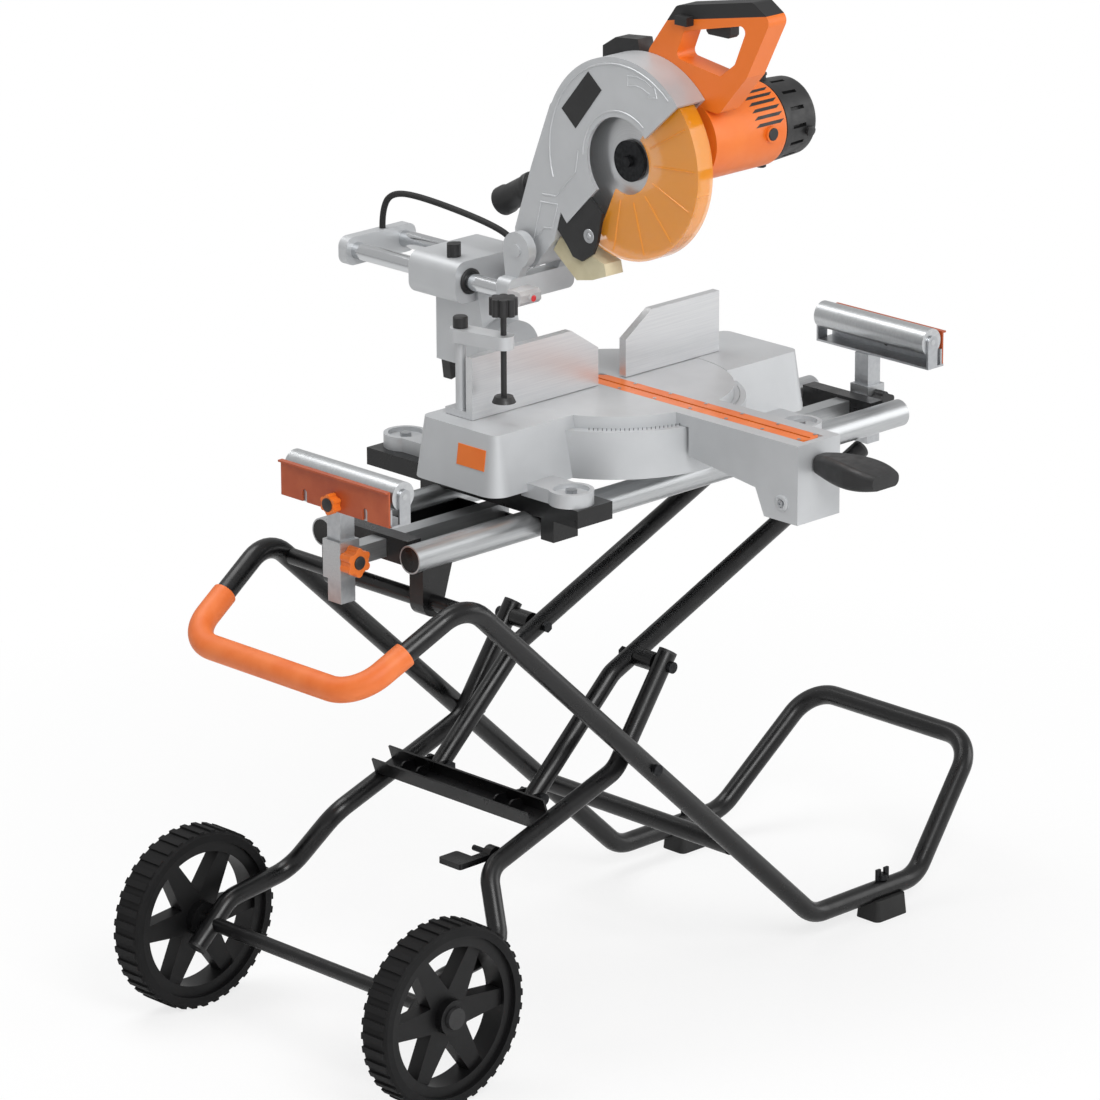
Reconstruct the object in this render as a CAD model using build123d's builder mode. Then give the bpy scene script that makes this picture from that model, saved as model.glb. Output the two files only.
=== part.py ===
"""Sliding compound mitre saw on a rolling scissor stand, as separate pieces in millimetres.

+X runs along the fence to the operator's right, -Y points at the operator and +Z is up.
The origin is on the floor, under the saw kerf and on the stand's middle plane.
"""

import math
import os

from build123d import *

os.makedirs("parts", exist_ok=True)

# Driving dimensions of the stand
FRAME_TUBE = 28.0
LEG_TUBE = 26.0
TUBE_WALL = 2.0
BOLT = 8.0
FIT = 0.1
SEAT = 0.3
FRAME_Y = 190.0
LOWER_LEG_Y = 149.0
UPPER_LEG_Y = 90.0
FOOT_AXIS_Z = 38.0
FRAME_TOP = (-447.0, 648.0)
FRAME_LOW_X = 208.0
LOOP_LOW_X = 418.0
LOOP_TOP = (573.0, 193.0)
LOOP_TOP_Y = 157.0
LIFT_HANDLE = (-615.0, 555.0)
LIFT_HANDLE_Y = 160.0
FRAME_BEND = 55.0
TUBE_SPLIT_X = 300.0
GRIP_TUBE = 34.0
GRIP_START = 0.55
FOOT_X = 350.0
FOOT_SIZE = (64.0, 44.0, 30.0)
PIVOT_X = -115.0
TABLE_HINGE_X = -416.0
HINGE_TUBE = 22.0
LOW_CROSS_X = 60.0

# Driving dimensions of the wheels and the leg frame
WHEEL_RADIUS = 125.0
WHEEL_WIDTH = 46.0
WHEEL_X = -545.0
WHEEL_Y = 243.0
TYRE_DEPTH = 16.0
TREAD_LUGS = 40
TREAD_DEPTH = 3.0
RIM_DEPTH = 15.0
RIM_WIDTH = 34.0
HUB_RADIUS = 24.0
SPOKES = 6
AXLE = 20.0
SPLAY_Y = 205.0
LEG_TOP = (-38.0, 470.0)
LEG_KNEE = (-136.0, 330.0)
LEG_SPLAY_TOP = (-372.0, 251.0)
LEG_SPLAY_LOW = (-405.0, 166.0)
LEG_HEEL_X = -515.0
LEG_HEEL_RISE = 27.0
LEG_END_RUN = 28.0
UPPER_LOW = (-248.0, 287.0)
UPPER_KNEE = (-84.0, 439.0)
UPPER_TOP_X = 400.0
LEG_BEND = 40.0
SPACER_X = -45.0
CHANNEL_X = -275.0
CHANNEL = (36.0, 300.0, 22.0)
CHANNEL_WALL = 3.0
EAR_WALL = 3.0
EAR_PIN_SHARE = 0.1
CAP = 4.0
SPOKE_WIDTH = 40.0
SPOKE_DEPTH = 22.0
TREAD_LUG = 9.0
PEDAL_X = -345.0
PEDAL_REACH = 48.0
PEDAL_WIDTH = 42.0
PEDAL_LENGTH = 34.0

# Driving dimensions of the table and the work supports
RAIL = 38.0
RAIL_Y = 84.0
RAIL_Z = 681.0
RAIL_ENDS = (-446.0, 488.0)
TABLE_TOP = 812.0
END_BAR = (24.0, 34.0)
ARM_BAR = 25.0
ARM_Y = -12.0
SLEEVE_WALL = 4.0
SUPPORT_X = 500.0
ARM_LENGTH = 290.0
POST_Z = (622.0, 752.0)
SLEEVE_Z = (655.0, 707.0)
ROLLER = 38.0
ROLLER_Y = (-131.0, 74.0)
ROLLER_Z = 790.0
STOP_PLATE = (2.5, 48.0)
STOP_TRAVEL = 20.0
KNOB_RADIUS = 20.0
KNOB_DEPTH = 18.0
KNOB_LOBES = 6
YOKE_WALL = 3.0
TRAY = (-396.0, -215.0)
TRAY_Z = 655.0
TRAY_WALL = 2.5
BRACKET_X = 206.0
BRACKET = (64.0, 24.0)
BRACKET_Y = (-182.0, 222.0)
BRACKET_JAW_Z = 664.0
FOOT_HOLES = ((217.0, -149.0), (195.0, 191.0))
FOOT_HOLE = 8.4
FOOT_SEAT_Z = 722.0
DRILL_REACH = 400.0
END_BAR_INSET = 14.0

# Driving dimensions of the saw's base and turntable
DECK_X = 288.0
DECK_Y = (-80.0, 62.0)
DECK_LOW = 730.0
CAST_WALL = 6.0
DRAFT = 8.0
TURN_Y = -10.0
TURN_RADIUS = 161.5
RING_WALL = 16.0
RING_TOP = 795.0
RING_FLOOR = (764.0, 772.0)
TURN_PIN = 40.0
FOOT_LUG = (60.0, 13.0)
ARM_WIDTH = 80.0
ARM_END_Y = -388.0
ARM_DEEP_Y = -312.0
ARM_LOW = 704.0
INSERT = (38.0, 3.0)
INSERT_Y = (-378.0, 32.0)
KERF = 4.0
FENCE_Y = (-7.0, 5.0)
FENCE_TOP = 898.0
FENCE_LEFT = (-259.0, -26.0)
FENCE_RIGHT = (26.0, 206.0)
FENCE_STEP = (50.0, 865.0)
FENCE_FOOT = (40.0, 9.0)
MITRE_HANDLE_Y = (-392.0, -506.0)
MITRE_HANDLE_Z = 782.0

# Driving dimensions of the slide and the saw head
BEVEL_HUB = 46.0
BEVEL_HUB_Y = (172.0, 205.0, 245.0)
COLUMN = (68.0, 215.0, 300.0)
HOUSING = (144.0, 221.0, 314.0)
HOUSING_Z = (886.0, 945.0)
SLIDE_ROD = 24.0
SLIDE_ROD_X = 45.0
SLIDE_LOCK = (-45.0, 252.0)
SLIDE_ROD_Z = 916.0
SLIDE_ROD_Y = (152.0, 446.0)
REAR_CAP = (132.0, 16.0, 40.0)
CHOP = (131.0, 976.0)
CHOP_PIN = 18.0
EAR = (31.0, 45.0)
BRACKET_BLOCK = (124.0, 24.0)
BRACKET_BLOCK_Z = (906.0, 938.0)
BLADE = 254.0
BLADE_THICK = 2.4
BLADE_TEETH = 60
BLADE_CENTRE = (-46.0, 1125.0)
ARBOR = 24.0
FLANGE = 56.0
GUARD_RADIUS = 142.0
GUARD_WALL = 5.0
GUARD_X = (-24.0, 28.0)
GUARD_ARC = (-45.0, 138.0)
GUARD_WINDOW = 62.0
LOWER_GUARD_RADIUS = 134.0
LOWER_GUARD_X = 14.0
LOWER_GUARD_WALL = 2.5
LOWER_GUARD_HUB = 24.0
LOWER_GUARD_RING = 8.0
LOWER_GUARD_WINDOW = 44.0
TOOTH = 5.0
FLANGE_DEPTH = 6.0
ARBOR_REACH = 14.0
LEVER_THICK = 16.0
LEVER_OUTLINE = ((-12.0, 0.0), (-16.0, -54.0), (6.0, -60.0), (14.0, 0.0))
HOUSING_ROUND = 18.0
REAR_CAP_ROUND = 14.0
BLOCK_ROUND = 10.0
ARM_OUTLINE = (
    (109.0, 962.0),
    (152.0, 966.0),
    (154.0, 1000.0),
    (122.0, 1092.0),
    (86.0, 1182.0),
    (34.0, 1240.0),
    (0.0, 1200.0),
    (60.0, 1060.0),
    (78.0, 996.0),
)
LOWER_GUARD_ARC = (128.0, 295.0)
MOTOR_AXIS = (-115.0, 1160.0)
MOTOR_RADIUS = 58.0
MOTOR_X = (28.3, 165.0, 228.0)
HANDLE_X = (28.6, 62.0)
LEAD = 9.0
CLAMP_POST = (-252.0, 22.0)
CLAMP_SCREW = (-238.0, -45.0)
CLAMP_TOP = 984.0
CLAMP_ARM_Z = (915.0, 933.0)
CLAMP_PAD_Z = 842.0
CLAMP_ROD = 14.0
GEAR_CASE = 36.0
GEAR_BOSS = 35.0
HANDLE_ROUND = 12.0
OPENING_ROUND = 8.0
TRIGGER_EDGE = 4.0
MOTOR_VENTS = 14
MOTOR_LIP = 2.0
MOTOR_ROUND = 6.0
CAP_TAPER = 3.0
CAP_ROUND = 10.0
VENT = (16.0, 5.0, 26.0)
VENT_START = 12.0
BRUSH_CAP = (11.0, 8.0, 34.0)
HANDLE_OUTLINE = (
    (-34.0, 1212.0),
    (-48.0, 1272.0),
    (-98.0, 1338.0),
    (-236.0, 1364.0),
    (-268.0, 1344.0),
    (-226.0, 1262.0),
    (-176.0, 1205.0),
)
HANDLE_OPENING = (
    (-96.0, 1268.0),
    (-112.0, 1306.0),
    (-228.0, 1332.0),
    (-204.0, 1276.0),
    (-178.0, 1256.0),
)
TRIGGER = (-166.0, 1316.0)
TRIGGER_SIZE = (16.0, 44.0, 20.0)
TRIGGER_TRAVEL = 6.0
LOCKOFF = (-118.0, 1322.0)
LOCKOFF_SIZE = (18.0, 22.0, 12.0)
LOCKOFF_TRAVEL = 4.0
DUST_START = (49.4, 96.0, 1092.0)
DUST_END = (49.4, 254.0, 1004.0)
HOSE = 36.0
HOSE_RIBS = 12
HOSE_RIB = 3.0
HOSE_SHARE = 0.62
DUST_BORE = 26.0
CHUTE_WIDTH = 32.0
CHUTE_OUTLINE = (
    (75.2, 1000.0),
    (88.0, 980.0),
    (44.0, 946.0),
    (14.0, 952.0),
    (-12.0, 962.0),
    (-8.0, 978.0),
    (38.0, 992.0),
)
LEAD_ROUTE = (
    (10.0, 454.0, 936.1),
    (10.0, 454.0, 962.0),
    (10.0, 436.0, 990.0),
    (10.0, 380.0, 996.0),
    (10.0, 240.0, 984.0),
    (10.0, 186.0, 968.0),
    (10.0, 178.0, 922.0),
    (10.0, 152.1, 922.0),
)
LEAD_BEND = 14.0
LASER = (-64.0, -26.0)
LASER_DEPTH = 26.0
LASER_HEIGHT = 20.0
LASER_LENS = 10.0

# Placing of upright pieces by the middle of their lower end
STANDING = (Align.CENTER, Align.CENTER, Align.MIN)


def keep(piece, name):
    """Label a finished piece and write it as its own file."""
    piece.label = name
    export_step(piece, f"parts/{name}.step")


def slope(first, second):
    """Rise over run between two points of the side view."""
    return (second[1] - first[1]) / (second[0] - first[0])


def at_x(first, second, x):
    """Height of the straight line through two points of the side view."""
    return first[1] + slope(first, second) * (x - first[0])


def tube(route, bends, diameter, wall=TUBE_WALL, cross_holes=()):
    """A bent round tube along straight runs joined by arcs, drilled along Y at each (x, z, radius)."""
    with BuildPart() as pipe:
        with BuildLine() as path:
            FilletPolyline(*route, radius=bends)
        with BuildSketch(Plane(origin=path.line @ 0, z_dir=path.line % 0)):
            Circle(diameter / 2)
            Circle(diameter / 2 - wall, mode=Mode.SUBTRACT)
        sweep()
        for x, z, radius in cross_holes:
            with Locations((x, 0, z)):
                Cylinder(radius, 2 * DRILL_REACH, rotation=(90, 0, 0), mode=Mode.SUBTRACT)
    return pipe


def straight_tube(start, end, diameter, wall=TUBE_WALL):
    """A straight round tube between two points."""
    axis = Vector(*end) - Vector(*start)
    with BuildPart() as pipe:
        with BuildSketch(Plane(origin=start, z_dir=axis)):
            Circle(diameter / 2)
            if wall:
                Circle(diameter / 2 - wall, mode=Mode.SUBTRACT)
        extrude(amount=axis.length)
    return pipe


def pin(x, z, y_from, y_to, diameter, head=0.0, head_length=0.0):
    """A bolt along Y, with a round head on its outer end and a nut on its inner one."""
    out = 1 if abs(y_to) > abs(y_from) and y_to > 0 else -1
    low, high = sorted((y_from, y_to))
    with BuildPart() as bolt:
        with BuildSketch(Plane(origin=(x, low, z), z_dir=(0, 1, 0))):
            Circle(diameter / 2)
        extrude(amount=high - low)
        if head:
            outer = high if out > 0 else low - head_length
            inner = low - head_length if out > 0 else high
            with BuildSketch(Plane(origin=(x, outer, z), z_dir=(0, 1, 0))):
                Circle(head / 2)
            extrude(amount=head_length)
            with BuildSketch(Plane(origin=(x, inner, z), z_dir=(0, 1, 0))):
                RegularPolygon(head / 2, 6)
            extrude(amount=head_length)
    return bolt


def between(first, second, share):
    """The point that lies this share of the way from one point to another."""
    return tuple(p + (q - p) * share for p, q in zip(first, second))


def group(*pieces):
    """Like pieces kept as separate solids in one node."""
    return Compound(children=[solid for piece in pieces for solid in piece.part.solids()])
# Lift frame: the tube that carries the table, with the lift handle at its upper end
frame_low = (FRAME_LOW_X, FOOT_AXIS_Z)
pivot = (PIVOT_X, at_x(FRAME_TOP, frame_low, PIVOT_X))
table_hinge = (TABLE_HINGE_X, at_x(FRAME_TOP, frame_low, TABLE_HINGE_X))
low_cross = (LOW_CROSS_X, at_x(FRAME_TOP, frame_low, LOW_CROSS_X))
bolt_hole = BOLT / 2 + FIT
frame_top_corner = (FRAME_TOP[0], FRAME_Y, FRAME_TOP[1])
handle_corner = (LIFT_HANDLE[0], LIFT_HANDLE_Y, LIFT_HANDLE[1])


def mirrored(route):
    """A route followed by its own mirror image across the stand's middle plane."""
    return route + [(x, -y, z) for x, y, z in reversed(route)]


split_point = (TUBE_SPLIT_X, FRAME_Y, FOOT_AXIS_Z)
lift_side = [split_point, (FRAME_LOW_X, FRAME_Y, FOOT_AXIS_Z), frame_top_corner, handle_corner]
lift_frame = tube(mirrored(lift_side), FRAME_BEND, FRAME_TUBE, cross_holes=[(*pivot, bolt_hole)])
keep(lift_frame.part, "lift_frame")

# Base loop: closes the lift frame at the floor and stands up as a second handle
loop_side = [
    split_point,
    (LOOP_LOW_X, FRAME_Y, FOOT_AXIS_Z),
    (LOOP_TOP[0], LOOP_TOP_Y, LOOP_TOP[1]),
]
with BuildPart() as base_loop:
    add(tube(mirrored(loop_side), FRAME_BEND, FRAME_TUBE).part)
    with Locations((FOOT_X, FRAME_Y, FOOT_AXIS_Z), (FOOT_X, -FRAME_Y, FOOT_AXIS_Z)):
        Cylinder(bolt_hole, 2 * FRAME_TUBE, mode=Mode.SUBTRACT)
keep(base_loop.part, "base_loop")

# Soft grip over the outer part of the lift handle
grip_side = [between(frame_top_corner, handle_corner, GRIP_START), handle_corner]
grip_wall = (GRIP_TUBE - FRAME_TUBE) / 2 - FIT
handle_grip = tube(mirrored(grip_side), FRAME_BEND, GRIP_TUBE, grip_wall)
keep(handle_grip.part, "handle_grip")

# Cross tubes of the lift frame, which end against the inner sides of its bars
inner_y = FRAME_Y - FRAME_TUBE / 2
hinge_tube = straight_tube(
    (table_hinge[0], -inner_y, table_hinge[1]), (table_hinge[0], inner_y, table_hinge[1]), HINGE_TUBE
)
low_tube = straight_tube(
    (low_cross[0], -inner_y, low_cross[1]),
    (low_cross[0], inner_y, low_cross[1]),
    LEG_TUBE,
)
keep(group(hinge_tube, low_tube), "cross_tubes")

# Feet under the base loop, each with a saddle for the tube and a bolt with a wing nut
feet = []
wing_nuts = []
for side in (-1, 1):
    with BuildPart() as foot:
        with BuildSketch():
            with Locations((FOOT_X, side * FRAME_Y)):
                RectangleRounded(FOOT_SIZE[0], FOOT_SIZE[1], 8)
        extrude(amount=FOOT_SIZE[2], taper=6)
        with Locations((FOOT_X, side * FRAME_Y, FOOT_AXIS_Z)):
            Cylinder(FRAME_TUBE / 2 + FIT, 2 * FOOT_SIZE[0], rotation=(0, 90, 0), mode=Mode.SUBTRACT)
        with Locations((FOOT_X, side * FRAME_Y, FOOT_SIZE[2] / 2)):
            Cylinder(bolt_hole, FOOT_SIZE[2], align=STANDING, mode=Mode.SUBTRACT)
    feet.append(foot)
    nut_z = FOOT_AXIS_Z + FRAME_TUBE / 2 + SEAT
    with BuildPart() as wing_nut:
        with Locations((FOOT_X, side * FRAME_Y, nut_z)):
            Cylinder(BOLT, BOLT, align=STANDING)
        with Locations(*((FOOT_X + wing * BOLT, side * FRAME_Y, nut_z + BOLT) for wing in (-1, 1))):
            Box(BOLT, BOLT / 2, 2 * BOLT)
        with Locations((FOOT_X, side * FRAME_Y, FOOT_SIZE[2] / 2)):
            Cylinder(BOLT / 2, nut_z + BOLT / 2 - FOOT_SIZE[2] / 2, align=STANDING)
    wing_nuts.append(wing_nut)
keep(group(*feet), "feet")

# Bolts on which the leg frame turns in the lift frame
bolt_head = 2 * BOLT
head_length = 0.7 * BOLT
pivot_bolts = []
for side in (-1, 1):
    outer = side * (FRAME_Y + FRAME_TUBE / 2 + SEAT)
    inner = side * (LOWER_LEG_Y - LEG_TUBE / 2 - SEAT)
    pivot_bolts.append(pin(*pivot, inner, outer, BOLT, bolt_head, head_length))
keep(group(*wing_nuts, *pivot_bolts), "frame_fasteners")

# Leg frame: lower legs to the wheels, upper legs to the table
heel_z = WHEEL_RADIUS + LEG_HEEL_RISE
heel = (LEG_HEEL_X, heel_z)
leg_end_x = WHEEL_X - LEG_END_RUN
leg_end = (leg_end_x, at_x(heel, (WHEEL_X, WHEEL_RADIUS), leg_end_x))
upper_top_z = RAIL_Z - RAIL / 2 - LEG_TUBE / 2 - 2 * SEAT - TUBE_WALL
upper_top = (UPPER_TOP_X, upper_top_z)
spacer = (SPACER_X, at_x(UPPER_KNEE, upper_top, SPACER_X))
axle_hole = AXLE / 2 + FIT
ear_pin = between(UPPER_LOW, UPPER_KNEE, EAR_PIN_SHARE)
lower_legs = []
upper_legs = []
for side in (-1, 1):
    leg_y = side * LOWER_LEG_Y
    splay_y = side * SPLAY_Y
    lower_route = [
        (LEG_TOP[0], leg_y, LEG_TOP[1]),
        (LEG_KNEE[0], leg_y, LEG_KNEE[1]),
        (LEG_SPLAY_TOP[0], leg_y, LEG_SPLAY_TOP[1]),
        (LEG_SPLAY_LOW[0], splay_y, LEG_SPLAY_LOW[1]),
        (heel[0], splay_y, heel[1]),
        (leg_end[0], splay_y, leg_end[1]),
    ]
    holes = [(*pivot, bolt_hole), (*spacer, bolt_hole), (WHEEL_X, WHEEL_RADIUS, axle_hole)]
    lower_legs.append(tube(lower_route, LEG_BEND, LEG_TUBE, cross_holes=holes))

    upper_y = side * UPPER_LEG_Y
    upper_route = [
        (UPPER_LOW[0], upper_y, UPPER_LOW[1]),
        (UPPER_KNEE[0], upper_y, UPPER_KNEE[1]),
        (upper_top[0], upper_y, upper_top[1]),
    ]
    holes = [(*spacer, bolt_hole), (*ear_pin, bolt_hole)]
    upper_legs.append(tube(upper_route, LEG_BEND, LEG_TUBE, cross_holes=holes))
keep(group(*lower_legs), "lower_legs")
keep(group(*upper_legs), "upper_legs")

# Spacers and through bolts that hold each upper leg beside its lower leg
spacers = []
leg_bolts = []
for side in (-1, 1):
    inner = side * (UPPER_LEG_Y + LEG_TUBE / 2 + FIT)
    outer = side * (LOWER_LEG_Y - LEG_TUBE / 2 - FIT)
    spacer_wall = LEG_TUBE / 2 - bolt_hole
    spacer_ends = [(spacer[0], y, spacer[1]) for y in (inner, outer)]
    spacers.append(straight_tube(*spacer_ends, LEG_TUBE, spacer_wall))
    bolt_inner = side * (UPPER_LEG_Y - LEG_TUBE / 2 - SEAT)
    bolt_outer = side * (LOWER_LEG_Y + LEG_TUBE / 2 + SEAT)
    leg_bolts.append(pin(*spacer, bolt_inner, bolt_outer, BOLT, bolt_head, head_length))
keep(group(*spacers), "leg_spacers")

# Channel across the lower legs, with ears that hold the upper legs' lower ends
run_slope = slope(LEG_KNEE, LEG_SPLAY_TOP)
run_angle = math.atan(run_slope)
channel_lift = LEG_TUBE / 2 + CHANNEL[2] / 2 + FIT
channel_x = CHANNEL_X - channel_lift * math.sin(run_angle)
channel_z = at_x(LEG_KNEE, LEG_SPLAY_TOP, CHANNEL_X) + channel_lift * math.cos(run_angle)
ear_run = Vector(channel_x - ear_pin[0], 0, channel_z - ear_pin[1])
with BuildPart() as channel:
    with BuildSketch(Plane(origin=(channel_x, 0, channel_z), x_dir=(1, 0, run_slope), z_dir=(0, -1, 0))):
        Rectangle(CHANNEL[0], CHANNEL[2])
        with Locations((0, CHANNEL_WALL)):
            Rectangle(CHANNEL[0] - 2 * CHANNEL_WALL, CHANNEL[2], mode=Mode.SUBTRACT)
    extrude(amount=CHANNEL[1] / 2, both=True)
    for side in (-1, 1):
        for cheek in (-1, 1):
            cheek_y = side * UPPER_LEG_Y + cheek * (LEG_TUBE / 2 + SEAT + EAR_WALL / 2)
            cheek_origin = (ear_pin[0], cheek_y, ear_pin[1])
            with BuildSketch(Plane(origin=cheek_origin, x_dir=ear_run, z_dir=(0, -1, 0))):
                with Locations((ear_run.length / 2, 0)):
                    SlotCenterToCenter(ear_run.length, 0.6 * LEG_TUBE)
                Circle(bolt_hole, mode=Mode.SUBTRACT)
            extrude(amount=EAR_WALL / 2, both=True)
keep(channel.part, "cross_channel")

ear_pins = []
for side in (-1, 1):
    reach = LEG_TUBE / 2 + EAR_WALL + 2 * SEAT
    near = side * (UPPER_LEG_Y - reach)
    far = side * (UPPER_LEG_Y + reach)
    ear_pins.append(pin(*ear_pin, near, far, BOLT, bolt_head, head_length))

# Plastic caps in the open ends of the legs, and slide pads on the upper legs under the table rails
caps = []
for side in (-1, 1):
    upper_bend = (UPPER_KNEE[0], side * UPPER_LEG_Y, UPPER_KNEE[1])
    ends = [
        ((LEG_TOP[0], side * LOWER_LEG_Y, LEG_TOP[1]), (LEG_KNEE[0], side * LOWER_LEG_Y, LEG_KNEE[1])),
        ((leg_end[0], side * SPLAY_Y, leg_end[1]), (heel[0], side * SPLAY_Y, heel[1])),
        ((UPPER_LOW[0], side * UPPER_LEG_Y, UPPER_LOW[1]), upper_bend),
        ((upper_top[0], side * UPPER_LEG_Y, upper_top[1]), upper_bend),
    ]
    for mouth, inside in ends:
        outward = Vector(*mouth) - Vector(*inside)
        with BuildPart() as cap:
            with BuildSketch(Plane(origin=mouth, z_dir=outward)):
                Circle(LEG_TUBE / 2)
            extrude(amount=CAP)
            with BuildSketch(Plane(origin=mouth, z_dir=outward)):
                Circle(LEG_TUBE / 2 - TUBE_WALL - FIT)
            extrude(amount=-1.5 * CAP)
        caps.append(cap)

# Axle through both lower legs, and the wheels on its ends
wheel_inner_y = WHEEL_Y - WHEEL_WIDTH / 2
wheel_outer_y = WHEEL_Y + WHEEL_WIDTH / 2
axle_end_y = wheel_outer_y + SEAT
axle = straight_tube((WHEEL_X, -axle_end_y, WHEEL_RADIUS), (WHEEL_X, axle_end_y, WHEEL_RADIUS), AXLE)
keep(axle.part, "wheel_axle")

axle_caps = []
rim_radius = WHEEL_RADIUS - TYRE_DEPTH
for side, end in ((-1, "front"), (1, "rear")):
    wheel_plane = Plane(origin=(WHEEL_X, side * WHEEL_Y, WHEEL_RADIUS), x_dir=(1, 0, 0), z_dir=(0, side, 0))
    with BuildPart() as wheel:
        with BuildSketch(wheel_plane):
            Circle(WHEEL_RADIUS - TREAD_DEPTH)
            Circle(rim_radius, mode=Mode.SUBTRACT)
        extrude(amount=WHEEL_WIDTH / 2, both=True)
        chamfer(wheel.edges().filter_by(GeomType.CIRCLE).sort_by(SortBy.RADIUS)[-2:], TREAD_DEPTH)
        with BuildSketch(wheel_plane):
            with PolarLocations(WHEEL_RADIUS - TREAD_DEPTH, TREAD_LUGS):
                Rectangle(2 * TREAD_DEPTH, TREAD_LUG)
        extrude(amount=WHEEL_WIDTH / 2 - TREAD_DEPTH, both=True)
        with BuildSketch(wheel_plane):
            Circle(rim_radius)
            Circle(rim_radius - RIM_DEPTH, mode=Mode.SUBTRACT)
        extrude(amount=RIM_WIDTH / 2, both=True)
        with BuildSketch(wheel_plane):
            with PolarLocations(0, SPOKES):
                with Locations((rim_radius / 2, 0)):
                    Trapezoid(SPOKE_WIDTH, rim_radius - RIM_DEPTH / 2 - HUB_RADIUS / 2, 96, rotation=90)
        extrude(amount=SPOKE_DEPTH / 2, both=True)
        with BuildSketch(wheel_plane):
            Circle(HUB_RADIUS)
        extrude(amount=WHEEL_WIDTH / 2, both=True)
        with BuildSketch(wheel_plane):
            Circle(AXLE / 2 + FIT / 2)
        extrude(amount=WHEEL_WIDTH, both=True, mode=Mode.SUBTRACT)
    keep(wheel.part, f"wheel_{end}")

    cap_y = side * (axle_end_y + FIT)
    with BuildPart() as axle_cap:
        with BuildSketch(Plane(origin=(WHEEL_X, cap_y, WHEEL_RADIUS), z_dir=(0, side, 0))):
            Circle(0.8 * AXLE)
        extrude(amount=CAP, taper=20)
    axle_caps.append(axle_cap)
keep(group(*caps, *axle_caps), "end_caps")

# Foot pedal inside the front lower leg, and the rod that it pulls to free the channel
pedal_y = -LOWER_LEG_Y + LEG_TUBE / 2
pedal_z = at_x(LEG_KNEE, LEG_SPLAY_TOP, PEDAL_X)
with BuildPart() as pedal_pin:
    with BuildSketch(Plane(origin=(PEDAL_X, pedal_y + SEAT, pedal_z), z_dir=(0, 1, 0))):
        Circle(BOLT / 2)
    extrude(amount=PEDAL_WIDTH)
keep(group(*leg_bolts, *ear_pins, pedal_pin), "leg_fasteners")

with BuildPart() as pedal:
    with BuildSketch(Plane(origin=(PEDAL_X, pedal_y + 2 * SEAT, pedal_z), x_dir=(1, 0, 0), z_dir=(0, 1, 0))):
        Circle(1.5 * BOLT)
        with Locations((-PEDAL_REACH / 2, 0)):
            Rectangle(PEDAL_REACH, BOLT)
        Circle(bolt_hole, mode=Mode.SUBTRACT)
    extrude(amount=PEDAL_WIDTH / 3)
    with BuildSketch(Plane(origin=(PEDAL_X - PEDAL_REACH, pedal_y + 2 * SEAT, pedal_z - BOLT / 2))):
        with Locations((0, PEDAL_WIDTH / 2)):
            RectangleRounded(PEDAL_LENGTH, PEDAL_WIDTH, BOLT / 2)
    extrude(amount=BOLT)
keep(pedal.part, "foot_pedal")

# Table: two round rails joined by end bars, hinged on the lift frame's upper cross tube
rail_inner_y = RAIL_Y - RAIL / 2
rails = [
    straight_tube((RAIL_ENDS[0], side * RAIL_Y, RAIL_Z), (RAIL_ENDS[1], side * RAIL_Y, RAIL_Z), RAIL)
    for side in (-1, 1)
]
keep(group(*rails), "table_rails")

arm_hole = ARM_BAR + 2 * SEAT
end_bars = []
for side, rail_end in ((1, RAIL_ENDS[0]), (-1, RAIL_ENDS[1])):
    with BuildPart() as end_bar:
        with Locations((rail_end + side * (END_BAR[0] / 2 + END_BAR_INSET), 0, RAIL_Z)):
            Box(END_BAR[0], 2 * rail_inner_y - 2 * FIT, END_BAR[1])
        with Locations((rail_end, ARM_Y, RAIL_Z)):
            Box(4 * END_BAR[0], arm_hole, arm_hole, mode=Mode.SUBTRACT)
    end_bars.append(end_bar)
keep(group(*end_bars), "end_bars")

rail_plugs = []
for side in (-1, 1):
    for rail_end, way in ((RAIL_ENDS[0], -1), (RAIL_ENDS[1], 1)):
        with BuildPart() as rail_plug:
            with BuildSketch(Plane(origin=(rail_end, side * RAIL_Y, RAIL_Z), z_dir=(way, 0, 0))):
                Circle(RAIL / 2 - TUBE_WALL - FIT)
            extrude(amount=-2 * CAP)
        rail_plugs.append(rail_plug)

hinge_lug = HINGE_TUBE / 2 + 2 * CAP
hinge_brackets = []
for side in (-1, 1):
    with BuildPart() as hinge_bracket:
        ear_origin = (table_hinge[0], side * RAIL_Y, table_hinge[1])
        with BuildSketch(Plane(origin=ear_origin, x_dir=(1, 0, 0), z_dir=(0, -1, 0))):
            drop = RAIL_Z - table_hinge[1]
            with BuildLine():
                Polyline((-hinge_lug, 0), (-hinge_lug, drop), (2 * hinge_lug, drop), (hinge_lug, 0))
                ThreePointArc((hinge_lug, 0), (0, -hinge_lug), (-hinge_lug, 0))
            make_face()
            Circle(HINGE_TUBE / 2 + FIT, mode=Mode.SUBTRACT)
        extrude(amount=RAIL / 3, both=True)
        with Locations((table_hinge[0], side * RAIL_Y, RAIL_Z)):
            Cylinder(RAIL / 2 + FIT, 8 * RAIL, rotation=(0, 90, 0), mode=Mode.SUBTRACT)
    hinge_brackets.append(hinge_bracket)
keep(group(*hinge_brackets, *rail_plugs), "hinge_brackets")

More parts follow.
